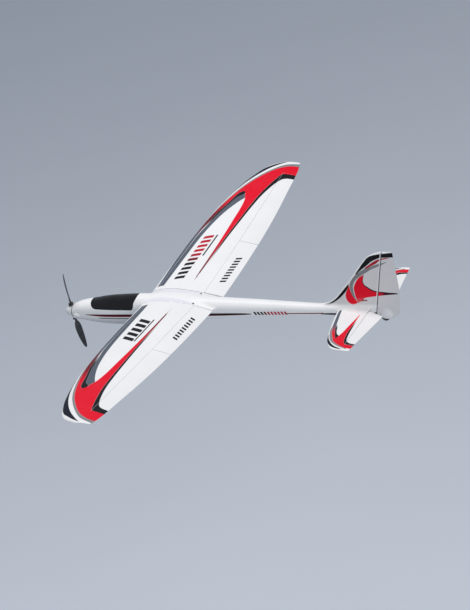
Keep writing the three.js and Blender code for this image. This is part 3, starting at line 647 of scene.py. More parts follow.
def edge(tree, along, span, reach, points):
    # the distance across at each distance along, as a smooth curve through a few points
    start = calc(tree, "DIVIDE", calc(tree, "SUBTRACT", along, span[0]), span[1] - span[0])
    node = addNode(tree, "FloatCurve", {"Value": start})
    mapping = node.mapping
    mapping.use_clip = False
    mapping.extend = "HORIZONTAL"
    curve = mapping.curves[0]
    wide, tall = span[1] - span[0], reach[1] - reach[0]
    places = sorted(((a - span[0]) / wide, (b - reach[0]) / tall) for a, b in points)
    curve.points[0].location = places[0]
    curve.points[1].location = places[-1]
    for place in places[1:-1]:
        curve.points.new(*place)
    for point in curve.points:
        point.handle_type = "AUTO_CLAMPED"
    mapping.update()
    return calc(tree, "ADD", calc(tree, "MULTIPLY", node.outputs[0], tall), reach[0])


def paintOver(tree, below, colour, mask):
    node = addNode(tree, "Mix", {0: mask, 6: below, 7: colour}, data_type="RGBA")
    return node.outputs[2]


def newGroup(name, takes, gives):
    group = bpy.data.node_groups.new(name, "ShaderNodeTree")
    for label, kind, value in takes:
        socket = group.interface.new_socket(label, in_out="INPUT", socket_type="NodeSocket" + kind)
        if value is not None:
            socket.default_value = value
    for label, kind in gives:
        group.interface.new_socket(label, in_out="OUTPUT", socket_type="NodeSocket" + kind)
    return group, group.nodes.new("NodeGroupInput").outputs, group.nodes.new("NodeGroupOutput").inputs


def useGroup(tree, group, inputs):
    node = tree.nodes.new("ShaderNodeGroup")
    node.node_tree = group
    for key, value in inputs.items():
        if isinstance(value, bpy.types.NodeSocket):
            tree.links.new(value, node.inputs[key])
        else:
            node.inputs[key].default_value = value
    return node.outputs


def newMaterial(name):
    material = bpy.data.materials.new(name)
    material.use_nodes = True
    tree = material.node_tree
    shader = tree.nodes["Principled BSDF"]
    place = addNode(tree, "TexCoord").outputs
    return material, tree, shader, place


paints = {
    "white": (0.88, 0.883, 0.886, 1), "red": (0.80, 0.0015, 0.022, 1), "crimson": (0.17, 0.004, 0.014, 1),
    "slate": (0.098, 0.118, 0.152, 1), "black": (0.005, 0.006, 0.009, 1), "navy": (0.005, 0.008, 0.018, 1),
    "silver": (0.24, 0.245, 0.255, 1), "finShadeGrey": (0.70, 0.70, 0.705, 1), "seam": (0.5, 0.505, 0.52, 1),
}


def foamGrainGroup():
    # moulded bead foam: rounded cells a few millimetres wide under a fine pebble
    group, given, out = newGroup(
        "foamGrain", [("Vector", "Vector", None), ("Cells", "Float", 260.0)],
        [("Height", "Float"), ("Tone", "Float")])
    cellInputs = {"Vector": given["Vector"], "Scale": given["Cells"]}
    cells = addNode(group, "TexVoronoi", cellInputs, feature="SMOOTH_F1")
    fine = addNode(group, "TexNoise", {"Vector": given["Vector"], "Scale": 900.0, "Detail": 2.0})
    broad = addNode(group, "TexNoise", {"Vector": given["Vector"], "Scale": 9.0, "Detail": 3.0})
    dome = calc(group, "MULTIPLY", cells.outputs["Distance"], -0.7)
    height = calc(group, "ADD", dome, calc(group, "MULTIPLY", fine.outputs[0], 0.3))
    group.links.new(height, out["Height"])
    tone = calc(group, "MULTIPLY", calc(group, "SUBTRACT", broad.outputs[0], 0.5), 0.09)
    speck = calc(group, "MULTIPLY", calc(group, "SUBTRACT", cells.outputs["Distance"], 0.3), -0.05)
    group.links.new(calc(group, "ADD", calc(group, "ADD", tone, speck), 1.0), out["Tone"])
    return group


def handlingGroup():
    # faint dust and finger marks that lift the roughness and dull the colour in patches
    group, given, out = newGroup(
        "handling", [("Vector", "Vector", None), ("Colour", "Color", None), ("Roughness", "Float", 0.4),
                     ("Amount", "Float", 0.1)],
        [("Colour", "Color"), ("Roughness", "Float")])
    patches = addNode(group, "TexNoise", {"Vector": given["Vector"], "Scale": 22.0, "Detail": 5.0})
    streaks = addNode(group, "TexNoise", {"Vector": given["Vector"], "Scale": 160.0, "Detail": 3.0})
    marks = calc(group, "MULTIPLY", ramp(group, patches.outputs[0], 0.45, 0.75), streaks.outputs[0])
    mask = calc(group, "MULTIPLY", marks, given["Amount"])
    dull = addNode(group, "Mix", {0: mask, 6: given["Colour"], 7: (0.45, 0.43, 0.4, 1)}, data_type="RGBA")
    group.links.new(dull.outputs[2], out["Colour"])
    rough = calc(group, "ADD", given["Roughness"], calc(group, "MULTIPLY", mask, 1.2))
    group.links.new(rough, out["Roughness"])
    return group


foamGrain, handling = foamGrainGroup(), handlingGroup()


def millimetres(tree, vector):
    scaled = addNode(tree, "VectorMath", {0: vector, 1: (1000.0, 1000.0, 1000.0)}, operation="MULTIPLY")
    axes = addNode(tree, "SeparateXYZ", {0: scaled.outputs[0]})
    return axes.outputs


def slantedBars(tree, along, across, slope, pitch, duty, first, count, height, soft=1.2):
    # a row of plain slanted bars: each repeats after a pitch and fills a share of it
    slanted = calc(tree, "ADD", along, calc(tree, "MULTIPLY", across, slope))
    phase = calc(tree, "PINGPONG", slanted, pitch / 2)
    bar = between(tree, phase, -1.0, pitch * duty / 2, soft)
    row = between(tree, slanted, (first - 0.5) * pitch, (first + count - 0.5) * pitch, 0.1)
    return both(tree, bar, both(tree, row, between(tree, across, *height, soft)))


def ruledLine(tree, along, across, span, height, soft=1.2):
    return both(tree, between(tree, along, *span, soft), between(tree, across, *height, soft))


def wingPaintGroup():
    # the wing's upper scheme, drawn as edges of x against distance from the middle line
    group, given, out = newGroup("wingPaint", [("Vector", "Vector", None), ("Normal", "Vector", None)],
                                 [("Colour", "Color")])
    x, y, _ = millimetres(group, given["Vector"])
    span = calc(group, "ABSOLUTE", y)
    chart, reach = (0, 760), (-220, 120)

    def line(points):
        return edge(group, span, chart, reach, points)

    front = line([(0, 57), (55, 59), (100, 61), (150, 63.5), (200, 66), (300, 66), (330, 65), (400, 59),
                  (450, 50), (500, 40), (550, 26), (600, 8), (650, -18), (700, -54), (715, -73), (724, -90),
                  (728, -112), (731, -200)])
    rear = line([(0, -48), (200, -49), (300, -49), (400, -51), (500, -54), (550, -57), (600, -63.5),
                 (650, -73), (675, -80), (680, -88), (682, -103), (683.5, -150), (685, -215)])
    wedge = line([(0, 52), (330, 50), (400, 42), (450, 34), (500, 22), (550, 12), (562, 6), (568, -2),
                  (571, -60), (576, -215)])
    wedgeInner = line([(0, 52), (330, 48), (400, 35), (450, 26), (500, 13.5), (535, 3), (543, -4),
                       (549, -10), (558, -12), (568, -9), (573, 30)])
    slateRear = line([(0, 37), (55, 37), (100, 36), (200, 34), (300, 31), (350, 27), (400, 20), (450, 9),
                      (500, -8), (530, -22), (560, -36)])
    lance = line([(0, -47), (80, -45), (200, -43), (300, -40), (400, -35), (500, -28), (530, -22),
                  (545, -15), (560, -11), (568, -2), (574, 8), (580, 14)])
    underLine = line([(0, -52), (300, -54), (400, -57), (500, -61.5), (550, -65.5), (600, -74), (630, -82),
                      (650, -91), (657, -100), (661, -112), (664, -215)])
    silver = line([(0, 58), (330, 65.5), (400, 61), (450, 54), (500, 45), (550, 32), (600, 15), (650, -10),
                   (700, -44), (725, -68), (735, -88), (741, -112)])
    navyRear = line([(480, 56), (510, 49.5), (550, 41), (600, 26), (650, 4), (700, -28), (720, -46),
                     (740, -68), (746, -78)])
    navyFront = line([(480, 53), (510, 51.5), (550, 45), (600, 36), (650, 20.5), (700, -4), (720, -26),
                      (740, -60), (746, -82)])
    soft = 1.4
    colour = paintOver(group, paints["white"], paints["silver"],
                       both(group, between(group, x, front, silver, soft), ramp(group, span, 330, 420)))
    warm = paintOver(group, paints["crimson"], paints["red"], ramp(group, span, 430, 540))
    stripe = paintOver(group, paints["slate"], warm, ramp(group, span, 300, 420))
    start = between(group, span, 55, 900, 2)
    lowest = calc(group, "MAXIMUM", wedge, rear)
    colour = paintOver(group, colour, stripe, both(group, between(group, x, lowest, front, soft), start))
    colour = paintOver(group, colour, paints["black"],
                       both(group, between(group, x, wedgeInner, wedge, soft), ramp(group, span, 345, 420)))
    inner = calc(group, "MAXIMUM", slateRear, lance)
    lateSlate = both(group, between(group, x, inner, wedgeInner, soft),
                     both(group, start, between(group, span, 0, 566, 2)))
    colour = paintOver(group, colour, paints["slate"], lateSlate)
    dots = addNode(group, "TexVoronoi", {"Vector": given["Vector"], "Scale": 330.0})
    fade = calc(group, "SUBTRACT", ramp(group, span, 20, 190),
                calc(group, "MULTIPLY", dots.outputs["Distance"], 0.7))
    halftone = calc(group, "MULTIPLY", fade, 5.0, clamp=True)
    early = ramp(group, span, 150, 330)
    lanceTone = paintOver(group, paints["crimson"], paints["red"], early)
    colour = paintOver(group, colour, lanceTone,
                       both(group, between(group, x, rear, calc(group, "MINIMUM", lance, front), soft),
                            both(group, halftone, between(group, span, 0, 583, 2))))
    colour = paintOver(group, colour, paints["black"],
                       both(group, between(group, x, underLine, rear, soft), ramp(group, span, 150, 300)))
    colour = paintOver(group, colour, paints["navy"], between(group, x, navyRear, navyFront, soft))

    # plain slanted bars where such aircraft carry their markings
    port = between(group, y, 0, 2000, 2)
    starboard = between(group, y, -2000, 0, 2)
    bold = both(group, port, slantedBars(group, span, x, 0.35, 27, 0.62, 6, 5, (-22, 15)))
    thin = both(group, port, ruledLine(group, span, x, (150, 285), (-29.5, -25.5)))
    colour = paintOver(group, colour, paints["black"], calc(group, "MAXIMUM", bold, thin))
    longRow = both(group, starboard, slantedBars(group, span, x, 0.3, 24, 0.6, 4, 10, (-12, 17)))
    twoTone = paintOver(group, paints["black"], (0.5, 0.01, 0.03, 1), ramp(group, span, 165, 235))
    colour = paintOver(group, colour, twoTone, longRow)
    rule = both(group, starboard, ruledLine(group, span, x, (212, 325), (-23, -18.5)))
    colour = paintOver(group, colour, paints["black"], rule)
    small = slantedBars(group, span, x, 0.5, 15, 0.55, 3, 9, (-134, -118))
    colour = paintOver(group, colour, paints["black"], small)

    # the skin hinge and the tip joint show as fine grooves
    hingeLine = line(wingShape["hinge"])
    crease = both(group, between(group, x, calc(group, "SUBTRACT", hingeLine, 0.9), hingeLine, 0.8),
                  between(group, span, 38, 684, 1))
    colour = paintOver(group, colour, paints["seam"], calc(group, "MULTIPLY", crease, 0.5))
    upper = addNode(group, "SeparateXYZ", {0: given["Normal"]}).outputs[2]
    colour = paintOver(group, paints["white"], colour, calc(group, "GREATER_THAN", upper, 0.02))
    group.links.new(colour, out["Colour"])
    return group


def tailPaintGroup():
    # the tailplane's upper scheme, drawn as the wing's
    group, given, out = newGroup("tailPaint", [("Vector", "Vector", None), ("Normal", "Vector", None)],
                                 [("Colour", "Color")])
    x, y, _ = millimetres(group, given["Vector"])
    span = calc(group, "ABSOLUTE", y)
    chart, reach = (0, 240), (-720, -520)

    def line(points):
        return edge(group, span, chart, reach, points)

    front = line([(0, -541), (16, -542), (63, -550), (114, -561), (143, -572), (167, -584), (183, -592),
                  (193, -602), (203, -614), (212, -628), (219, -642), (222, -656), (223, -715)])
    rear = line([(0, -618), (120, -618), (160, -621), (180, -625), (197, -633), (203, -645), (206, -662),
                 (208, -715)])
    wedge = line([(0, -550), (16, -551), (63, -560), (100, -568), (117, -572), (133, -578), (147, -583),
                  (160, -589), (170, -594), (172, -601), (174, -715)])
    wedgeInner = line([(0, -550), (80, -563.5), (100, -572), (117, -578), (133, -583), (147, -590),
                       (158, -600), (168, -603), (174, -580)])
    lance = line([(0, -618), (40, -616), (100, -608), (140, -603), (160, -598), (170, -594), (178, -588)])
    underLine = line([(0, -618.5), (60, -620.5), (120, -623.5), (160, -628), (180, -633), (189, -640),
                      (195, -650), (197, -662), (199, -715)])
    silver = line([(0, -539), (90, -553), (120, -558), (143, -565), (167, -575), (183, -584), (200, -601),
                   (213, -620), (222, -640), (228, -652)])
    navyFront = line([(140, -566), (155, -563.5), (170, -567), (185, -575), (200, -585), (213, -598),
                      (223, -615), (231, -645)])
    navyRear = line([(140, -562), (155, -567), (170, -573.5), (185, -583), (200, -595), (213, -610),
                     (223, -628), (231, -640)])
    soft = 1.2
    colour = paintOver(group, paints["white"], paints["silver"],
                       both(group, between(group, x, calc(group, "MAXIMUM", front, -648), silver, soft),
                            ramp(group, span, 85, 130)))
    stripe = paintOver(group, paints["slate"], paints["red"], ramp(group, span, 95, 150))
    lowest = calc(group, "MAXIMUM", wedge, rear)
    colour = paintOver(group, colour, stripe, between(group, x, lowest, front, soft))
    colour = paintOver(group, colour, paints["black"],
                       both(group, between(group, x, wedgeInner, wedge, soft), ramp(group, span, 85, 115)))
    colour = paintOver(group, colour, paints["red"],
                       both(group, between(group, x, rear, calc(group, "MINIMUM", lance, front), soft),
                            between(group, span, 42, 176, 3)))
    colour = paintOver(group, colour, paints["black"],
                       both(group, between(group, x, underLine, rear, soft), ramp(group, span, 60, 110)))
    colour = paintOver(group, colour, paints["navy"], between(group, x, navyRear, navyFront, soft))
    upper = addNode(group, "SeparateXYZ", {0: given["Normal"]}).outputs[2]
    colour = paintOver(group, paints["white"], colour, calc(group, "GREATER_THAN", upper, 0.02))
    group.links.new(colour, out["Colour"])
    return group


def finPaintGroup():
    # flame, swoosh and cap on fin and rudder, drawn as edges of x against height and of height against x
    group, given, out = newGroup("finPaint", [("Vector", "Vector", None)],
                                 [("Colour", "Color"), ("Mask", "Float")])
    x, _, z = millimetres(group, given["Vector"])
    heights, lengths = (55, 235), (-745, -480)
    soft = 1.2

    def byHeight(points):
        return edge(group, z, heights, lengths, points)

    def byLength(points):
        return edge(group, x, lengths, (40, 240), points)

    def level(low, high):
        return between(group, z, low, high, soft)

    outer = byHeight([(66, -600), (68, -597), (87, -588), (105, -584.5), (118, -585), (131, -589),
                      (143, -598), (161, -619), (172, -638), (182, -662), (190, -686), (197, -716)])
    innerEdge = byHeight([(66, -600), (76, -596), (87, -595), (100, -594), (116, -595), (131, -601),
                          (142, -611), (153, -627), (162, -643), (174, -665), (184, -690), (197, -718)])
    # painted shade: the sides of fin and rudder are painted grey, darker than the white rim along the leading
    # edge
    colour = paintOver(group, paints["finShadeGrey"], paints["silver"],
                       both(group, between(group, x, innerEdge, outer, soft), level(66, 197)))
    blobFore = byHeight([(61, -584.5), (64.5, -576), (74, -568), (85, -566), (98, -569), (111, -577),
                         (122, -584)])
    blobAft = byHeight([(61, -584.5), (64, -593), (67, -598), (76, -595), (81, -592), (98, -585.5),
                        (111, -584), (122, -584.5)])
    colour = paintOver(group, colour, paints["red"],
                       both(group, between(group, x, blobAft, blobFore, soft), level(61, 122)))
    flameFore = byHeight([(66, -602), (68, -599), (83, -597), (98.5, -596.5), (113, -597), (127.5, -604),
                          (142, -615), (151, -626), (156, -636)])
    flameAft = byHeight([(66, -600), (68, -603), (73, -616), (80, -621), (83, -628), (86, -645),
                         (88.6, -665), (92, -700), (94, -727), (96.5, -700), (99, -680), (101, -663),
                         (106, -650), (114, -639), (124, -630), (133, -628), (146, -632), (154, -635),
                         (157, -632)])
    flameShadow = byHeight([(66, -600), (80, -618), (86, -640), (92, -690), (95, -728), (98.5, -705),
                            (102, -682), (104, -665), (109, -652.5), (117, -641.5), (125, -632.5),
                            (135, -630.5), (148, -634), (157, -637), (160, -632)])
    colour = paintOver(group, colour, paints["black"],
                       both(group, between(group, x, flameShadow, flameFore, soft), level(84, 157)))
    flameTone = paintOver(group, (0.6, 0.16, 0.16, 1), paints["red"], ramp(group, z, 66, 88))
    flameTone = paintOver(group, flameTone, (0.06, 0.004, 0.008, 1), ramp(group, x, -668, -692))
    colour = paintOver(group, colour, flameTone,
                       both(group, between(group, x, flameAft, flameFore, soft), level(67, 155)))
    detail = both(group, between(group, x, -630, -614, soft), level(72, 77))
    colour = paintOver(group, colour, paints["crimson"], calc(group, "MULTIPLY", detail, 0.8))
    capTop = byLength([(-745, 226), (-739, 225.6), (-700, 224.5), (-678, 220.5), (-658, 210.5), (-635, 187),
                       (-622, 172), (-612, 159), (-606, 148)])
    capLow = byLength([(-745, 211), (-700, 211), (-691, 208), (-672, 200), (-654, 187), (-639, 176.6),
                       (-622, 164), (-612, 157), (-606, 160)])
    colour = paintOver(group, colour, paints["black"], level(capLow, capTop))
    stripeTop = byLength([(-745, 200), (-722, 210), (-698, 207), (-682, 201), (-663, 190), (-645, 178),
                          (-636, 172)])
    stripeLow = byLength([(-745, 214), (-722, 208), (-698, 202.5), (-682, 192), (-663, 183), (-645, 176),
                          (-636, 176)])
    colour = paintOver(group, colour, (0.42, 0.01, 0.025, 1), level(stripeLow, stripeTop))
    spineLow = byLength([(-585, 130), (-580, 116), (-572, 105), (-561, 94), (-552, 86), (-534, 73),
                         (-517, 64), (-503, 59), (-495, 62)])
    colour = paintOver(group, colour, paints["black"],
                       both(group, level(spineLow, 150), between(group, x, -583, -496, soft)))
    rim = byHeight([(55, -482), (61, -490), (66, -511), (76.5, -530), (93, -548.5), (112, -567.5),
                    (131, -587), (153.5, -607), (176.5, -627), (198, -646.5), (213.7, -665), (221, -690),
                    (226, -745)])
    colour = paintOver(group, colour, paints["white"], between(group, x, rim, 0, soft))
    # the rudder joint: a painted highlight along the fin's edge in front of a groove darkened as painted
    # shade
    rake = calc(group, "ADD", calc(group, "MULTIPLY", z, rakeX(1) - rakeX(0)), rakeX(0))
    colour = paintOver(group, colour, paints["white"],
                       between(group, x, calc(group, "ADD", rake, 1.2), calc(group, "ADD", rake, 3.6), soft))
    groove = between(group, x, calc(group, "SUBTRACT", rake, 1.6), calc(group, "ADD", rake, 1.0), soft)
    colour = paintOver(group, colour, (0.12, 0.125, 0.135, 1), calc(group, "MULTIPLY", groove, 0.8))
    tailward = both(group, between(group, x, -2000, -500, 40), ramp(group, z, 56, 66))
    # painted highlight: a half-strength white spot on the swell round the tail wheel
    foot = addNode(group, "VectorMath", {0: given["Vector"], 1: (-0.68, 0, 0.03)}, operation="DISTANCE")
    footHighlight = ramp(group, foot.outputs["Value"], 0.022, 0.018)
    colour = paintOver(group, colour, paints["white"], calc(group, "MULTIPLY", footHighlight, 0.5))
    group.links.new(colour, out["Colour"])
    group.links.new(tailward, out["Mask"])
    return group


def bodyPaintGroup():
    # side stripes of the fuselage, drawn as edges of height against x
    group, given, out = newGroup("bodyPaint", [("Vector", "Vector", None), ("Fin", "Color", None),
                                               ("Mask", "Float", 0.0)], [("Colour", "Color")])
    x, y, z = millimetres(group, given["Vector"])
    lengths = (-540, 320)
    soft = 1.0

    def byLength(points):
        return edge(group, x, lengths, (0, 80), points)

    low = byLength([(-272, 41), (-263, 37.5), (-200, 35), (-120, 34.2), (60, 33), (190, 31.8), (250, 34),
                    (278, 37)])
    top = byLength([(-272, 38), (-263, 41), (-200, 43.2), (-120, 43.5), (60, 42), (190, 40), (250, 37.7),
                    (278, 35)])
    middle = calc(group, "ADD", calc(group, "MULTIPLY", low, 0.45), calc(group, "MULTIPLY", top, 0.55))
    tone = paintOver(group, (0.05, 0.002, 0.006, 1), paints["crimson"], ramp(group, x, -190, -60))
    tone = paintOver(group, tone, (0.2, 0.004, 0.012, 1), ramp(group, x, 0, 150))
    # painted shade: the white turns grey towards the bottom of the fuselage, where the underside falls in
    # shade
    paintedBellyShade = paintOver(group, paints["white"], (0.5, 0.505, 0.52, 1), ramp(group, z, 36, 6))
    colour = paintOver(group, paintedBellyShade, tone, between(group, z, low, top, soft))
    colour = paintOver(group, colour, paints["black"],
                       both(group, between(group, z, middle, top, soft), between(group, z, low, 60, soft)))
    hair = both(group, between(group, z, 25.2, 28.2, soft), between(group, x, -110, 222, 12))
    colour = paintOver(group, colour, (0.03, 0.025, 0.03, 1), hair)
    bars = slantedBars(group, x, z, -0.35, 10.5, 0.62, -37, 10, (35, 46.5), 0.8)
    barTone = paintOver(group, (0.45, 0.01, 0.03, 1), paints["black"], ramp(group, x, -330, -300))
    colour = paintOver(group, colour, barTone, bars)
    rule = both(group, between(group, z, 37.6, 41, soft), between(group, x, -492, -374, 8))
    colour = paintOver(group, colour, paints["crimson"], rule)
    # a black band on the boom's underside ahead of the tailplane: partly print and partly painted shade
    belly = byLength([(-540, 37), (-530, 38.5), (-510, 39.5), (-490, 39), (-478, 34)])
    bellyLow = byLength([(-540, 32), (-530, 32), (-510, 33), (-490, 35), (-478, 37)])
    colour = paintOver(group, colour, paints["black"], between(group, z, bellyLow, belly, soft))
    # the moulded root fairing is painted a cooler, darker white as painted shade, with a fine joint against
    # the wing
    across = calc(group, "ABSOLUTE", y)
    crown = edge(group, x, (-120, 100), (0, 60),
                 [(-120, 45), (-98, 33), (-60, 21), (0, 16), (40, 18), (72, 29), (84, 45)])
    fairingShade = both(group, between(group, across, crown, 60, 5), between(group, z, 58, 200, 3))
    colour = paintOver(group, colour, (0.80, 0.795, 0.865, 1), calc(group, "MULTIPLY", fairingShade, 0.9))
    joint = both(group, between(group, across, 35.9, 60, 0.6), between(group, x, -158, 76, 2))
    colour = paintOver(group, colour, paints["seam"], calc(group, "MULTIPLY", joint, 0.8))
    colour = paintOver(group, colour, given["Fin"], given["Mask"])
    group.links.new(colour, out["Colour"])
    return group


wingPaint, tailPaint = wingPaintGroup(), tailPaintGroup()
finPaint, bodyPaint = finPaintGroup(), bodyPaintGroup()


def foamMaterial(name, colourOf, roughness=0.42, grain=0.35):
    material, tree, shader, place = newMaterial(name)
    colour = colourOf(tree, place)
    cells = useGroup(tree, foamGrain, {"Vector": place["Object"]})
    toned = addNode(tree, "VectorMath", {0: colour, "Scale": cells["Tone"]}, operation="SCALE").outputs[0]
    worn = useGroup(tree, handling, {"Vector": place["Object"], "Colour": toned, "Roughness": roughness,
                                     "Amount": 0.03})
    bump = addNode(tree, "Bump", {"Height": cells["Height"], "Strength": grain, "Distance": 0.0006})
    tree.links.new(worn["Colour"], shader.inputs["Base Color"])
    tree.links.new(worn["Roughness"], shader.inputs["Roughness"])
    tree.links.new(bump.outputs[0], shader.inputs["Normal"])
    shader.inputs["Specular IOR Level"].default_value = 0.14
    return material


def wingColour(tree, place):
    return useGroup(tree, wingPaint, {"Vector": place["Object"], "Normal": place["Normal"]})["Colour"]


def tailColour(tree, place):
    return useGroup(tree, tailPaint, {"Vector": place["Object"], "Normal": place["Normal"]})["Colour"]


def finColour(tree, place):
    return useGroup(tree, finPaint, {"Vector": place["Object"]})["Colour"]


def bodyColour(tree, place):
    fin = useGroup(tree, finPaint, {"Vector": place["Object"]})
    inputs = {"Vector": place["Object"], "Fin": fin["Colour"], "Mask": fin["Mask"]}
    return useGroup(tree, bodyPaint, inputs)["Colour"]


wingFoam = foamMaterial("wingFoam", wingColour)
tailFoam = foamMaterial("tailFoam", tailColour)
finFoam = foamMaterial("finFoam", finColour)
bodyFoam = foamMaterial("bodyFoam", bodyColour, roughness=0.36)


def plainMaterial(name, colour, roughness, metallic=0.0, coat=0.0, grain=(400.0, 0.15), amount=0.25):
    # moulded or machined finish: fine surface noise, handling marks and a small bump
    material, tree, shader, place = newMaterial(name)
    noise = addNode(tree, "TexNoise", {"Vector": place["Object"], "Scale": grain[0], "Detail": 4.0})
    tone = calc(tree, "ADD", calc(tree, "MULTIPLY", noise.outputs[0], 0.24), 0.88)
    toned = addNode(tree, "VectorMath", {0: colour[:3], "Scale": tone}, operation="SCALE").outputs[0]
    worn = useGroup(tree, handling, {"Vector": place["Object"], "Colour": toned, "Roughness": roughness,
                                     "Amount": amount})
    bump = addNode(tree, "Bump", {"Height": noise.outputs[0], "Strength": grain[1], "Distance": 0.0003})
    tree.links.new(worn["Colour"], shader.inputs["Base Color"])
    tree.links.new(worn["Roughness"], shader.inputs["Roughness"])
    tree.links.new(bump.outputs[0], shader.inputs["Normal"])
    shader.inputs["Metallic"].default_value = metallic
    shader.inputs["Coat Weight"].default_value = coat
    shader.inputs["Coat Roughness"].default_value = 0.08
    return material


def carbonMaterial():
    # pultruded carbon: fine lines along the tube
    material, tree, shader, place = newMaterial("carbonTube")
    stretched = addNode(tree, "Mapping", {"Vector": place["Object"], "Scale": (900.0, 18.0, 900.0)})
    noise = addNode(tree, "TexNoise", {"Vector": stretched.outputs[0], "Scale": 1.0, "Detail": 3.0})
    colour = paintOver(tree, (0.012, 0.012, 0.014, 1), (0.06, 0.06, 0.065, 1), noise.outputs[0])
    tree.links.new(colour, shader.inputs["Base Color"])
    tree.links.new(ramp(tree, noise.outputs[0], 0.2, 1.2), shader.inputs["Roughness"])
    bump = addNode(tree, "Bump", {"Height": noise.outputs[0], "Strength": 0.3, "Distance": 0.0002})
    tree.links.new(bump.outputs[0], shader.inputs["Normal"])
    return material


def batteryMaterial():
    # shrink wrap with plain bands for its label
    material, tree, shader, place = newMaterial("batteryWrap")
    x, _, z = millimetres(tree, place["Object"])
    band = slantedBars(tree, x, z, 0.6, 14, 0.4, 11, 4, (16, 34))
    base = paintOver(tree, (0.02, 0.075, 0.24, 1), (0.7, 0.71, 0.72, 1), band)
    wrinkles = addNode(tree, "TexNoise", {"Vector": place["Object"], "Scale": 120.0, "Detail": 4.0})
    bump = addNode(tree, "Bump", {"Height": wrinkles.outputs[0], "Strength": 0.35, "Distance": 0.0008})
    tree.links.new(base, shader.inputs["Base Color"])
    tree.links.new(ramp(tree, wrinkles.outputs[0], 0.0, 1.6), shader.inputs["Roughness"])
    tree.links.new(bump.outputs[0], shader.inputs["Normal"])
    return material


canopyGloss = plainMaterial(
    "canopyGloss", (0.0015, 0.002, 0.0035), 0.1, coat=0.25, grain=(60.0, 0.02), amount=0.01)
spinnerPlastic = plainMaterial(
    "spinnerPlastic", (0.8, 0.805, 0.81), 0.24, coat=0.3, grain=(90.0, 0.03), amount=0.12)
bladeComposite = plainMaterial("bladeComposite", (0.014, 0.015, 0.018), 0.36, coat=0.2)
blackNylon = plainMaterial("blackNylon", (0.016, 0.016, 0.018), 0.5)
armNylon = plainMaterial("armNylon", (0.74, 0.74, 0.71), 0.45)
servoCase = plainMaterial("servoCase", (0.02, 0.05, 0.16), 0.35)
electronicsCase = plainMaterial("electronicsCase", (0.02, 0.022, 0.026), 0.4)
bellMetal = plainMaterial("bellMetal", (0.42, 0.43, 0.45), 0.28, metallic=1.0, grain=(700.0, 0.2))
copperWinding = plainMaterial("copperWinding", (0.5, 0.2, 0.08), 0.35, metallic=1.0, grain=(1500.0, 0.6))
steelRod = plainMaterial("steelRod", (0.55, 0.56, 0.58), 0.25, metallic=1.0, grain=(1200.0, 0.1))
wheelPlastic = plainMaterial("wheelPlastic", (0.78, 0.785, 0.79), 0.4)
wheelRubber = plainMaterial("wheelRubber", (0.018, 0.018, 0.019), 0.72, grain=(1500.0, 0.5), amount=0.5)
carbonTube, batteryWrap = carbonMaterial(), batteryMaterial()
print("materials made")


# ---- foam pieces
cuts = {
    "carrier": {"x": (-44.4, 84.4), "half": 14.4, "z": (-8, 2)},
    "wheelWell": {"x": (21.7, 74.3), "half": 11.4, "z": (2, 33.4)},
    "screw": {"place": (-92, 28), "radius": 3.7, "z": (70.5, 95)},
    "elevatorGap": {"x": (-720, -634), "y": (8.6, 24), "z": (30, 62)},
    "hornRoom": {"x": (-650, -622), "y": (-4, 5), "z": (28, 50)},
    "rodSlot": {
        "inner": [(-458, -6.1), (-642.8, -6.1), (-643, -4.6), (-651, -4.6)], "outer": -24, "z": (29.2, 38.6),
    },
}


def boreTool(radius, reach, centre, axis, steps):
    low, high = reach
    return lathe([(low, 0.01), (low, radius), (high, radius), (high, 0.01)], centre, axis, steps)


def bodyTools(right):
    # what is cut from a fuselage half, none of it touching another
    side = -1 if right else 1
    steps = []
    for room in (cuts["carrier"], cuts["wheelWell"]):
        (x0, x1), half = room["x"], room["half"]
        steps += [[(x0, -half, z), (x1, -half, z), (x1, half, z), (x0, half, z)] for z in room["z"]]
    screwX, screwY = cuts["screw"]["place"]
    screw = boreTool(cuts["screw"]["radius"], cuts["screw"]["z"], (screwX, side * screwY, 0), "z", 32)
    gap, horn, slot = cuts["elevatorGap"], cuts["hornRoom"], cuts["rodSlot"]
    gapY = sorted(side * y for y in gap["y"])
    elevatorGap = block(*zip(gap["x"], gapY, gap["z"]))
    hornRoom = block(*zip(horn["x"], horn["y"], horn["z"]))
    tools = [hatchOpening(), ringFaces(steps), screw, elevatorGap, hornRoom]
    if right:
        outline = [(x, slot["outer"]) for x, _ in slot["inner"][::-1]] + slot["inner"]
        tools.append(ringFaces([[(x, y, z) for x, y in outline] for z in slot["z"]]))
    return tools


halfSkin = [fuselageHalf()]
for side, parts in (("left", halfSkin), ("right", mirrored(halfSkin))):
    piece = makeMesh("foam_fuselage_" + side, parts)
    combine(piece, bodyTools(side == "right"))
    fit(piece, "root", bodyFoam, "foam_skin", "fuselage_" + side)
print("fuselage made")

hatch = makeMesh("gloss_canopy", [hatchShell()], sharp=50)
fit(hatch, "canopy", canopyGloss, "canopy_gloss", "canopy_hatch")

panel, linkRooms = [wingPanel()], linkageRoom(flapShape) + linkageRoom(aileronShape)
surfaces = {"flap": [controlSurface(flapShape)], "aileron": [controlSurface(aileronShape)]}
for side in ("left", "right"):
    flip = mirrored if side == "right" else list
    piece = makeMesh("foam_wing_" + side, flip(panel))
    combine(piece, flip(linkRooms))
    fit(piece, "root", wingFoam, "foam_skin", "wing_" + side)
    for name, parts in surfaces.items():
        piece = makeMesh(f"foam_{name}_{side}", flip(parts))
        fit(piece, f"{name}_{side}", wingFoam, "foam_skin", f"{name}_{side}")
    piece = makeMesh("foam_stabilizer_" + side, flip([stabilizerHalf()]))
    fit(piece, "root", tailFoam, "foam_skin", "stabilizer_" + side)
    piece = makeMesh("foam_elevator_" + side, flip([elevatorHalf()]))
    fit(piece, "elevator", tailFoam, "foam_skin", "elevator_" + side)
print("wing and tail made")

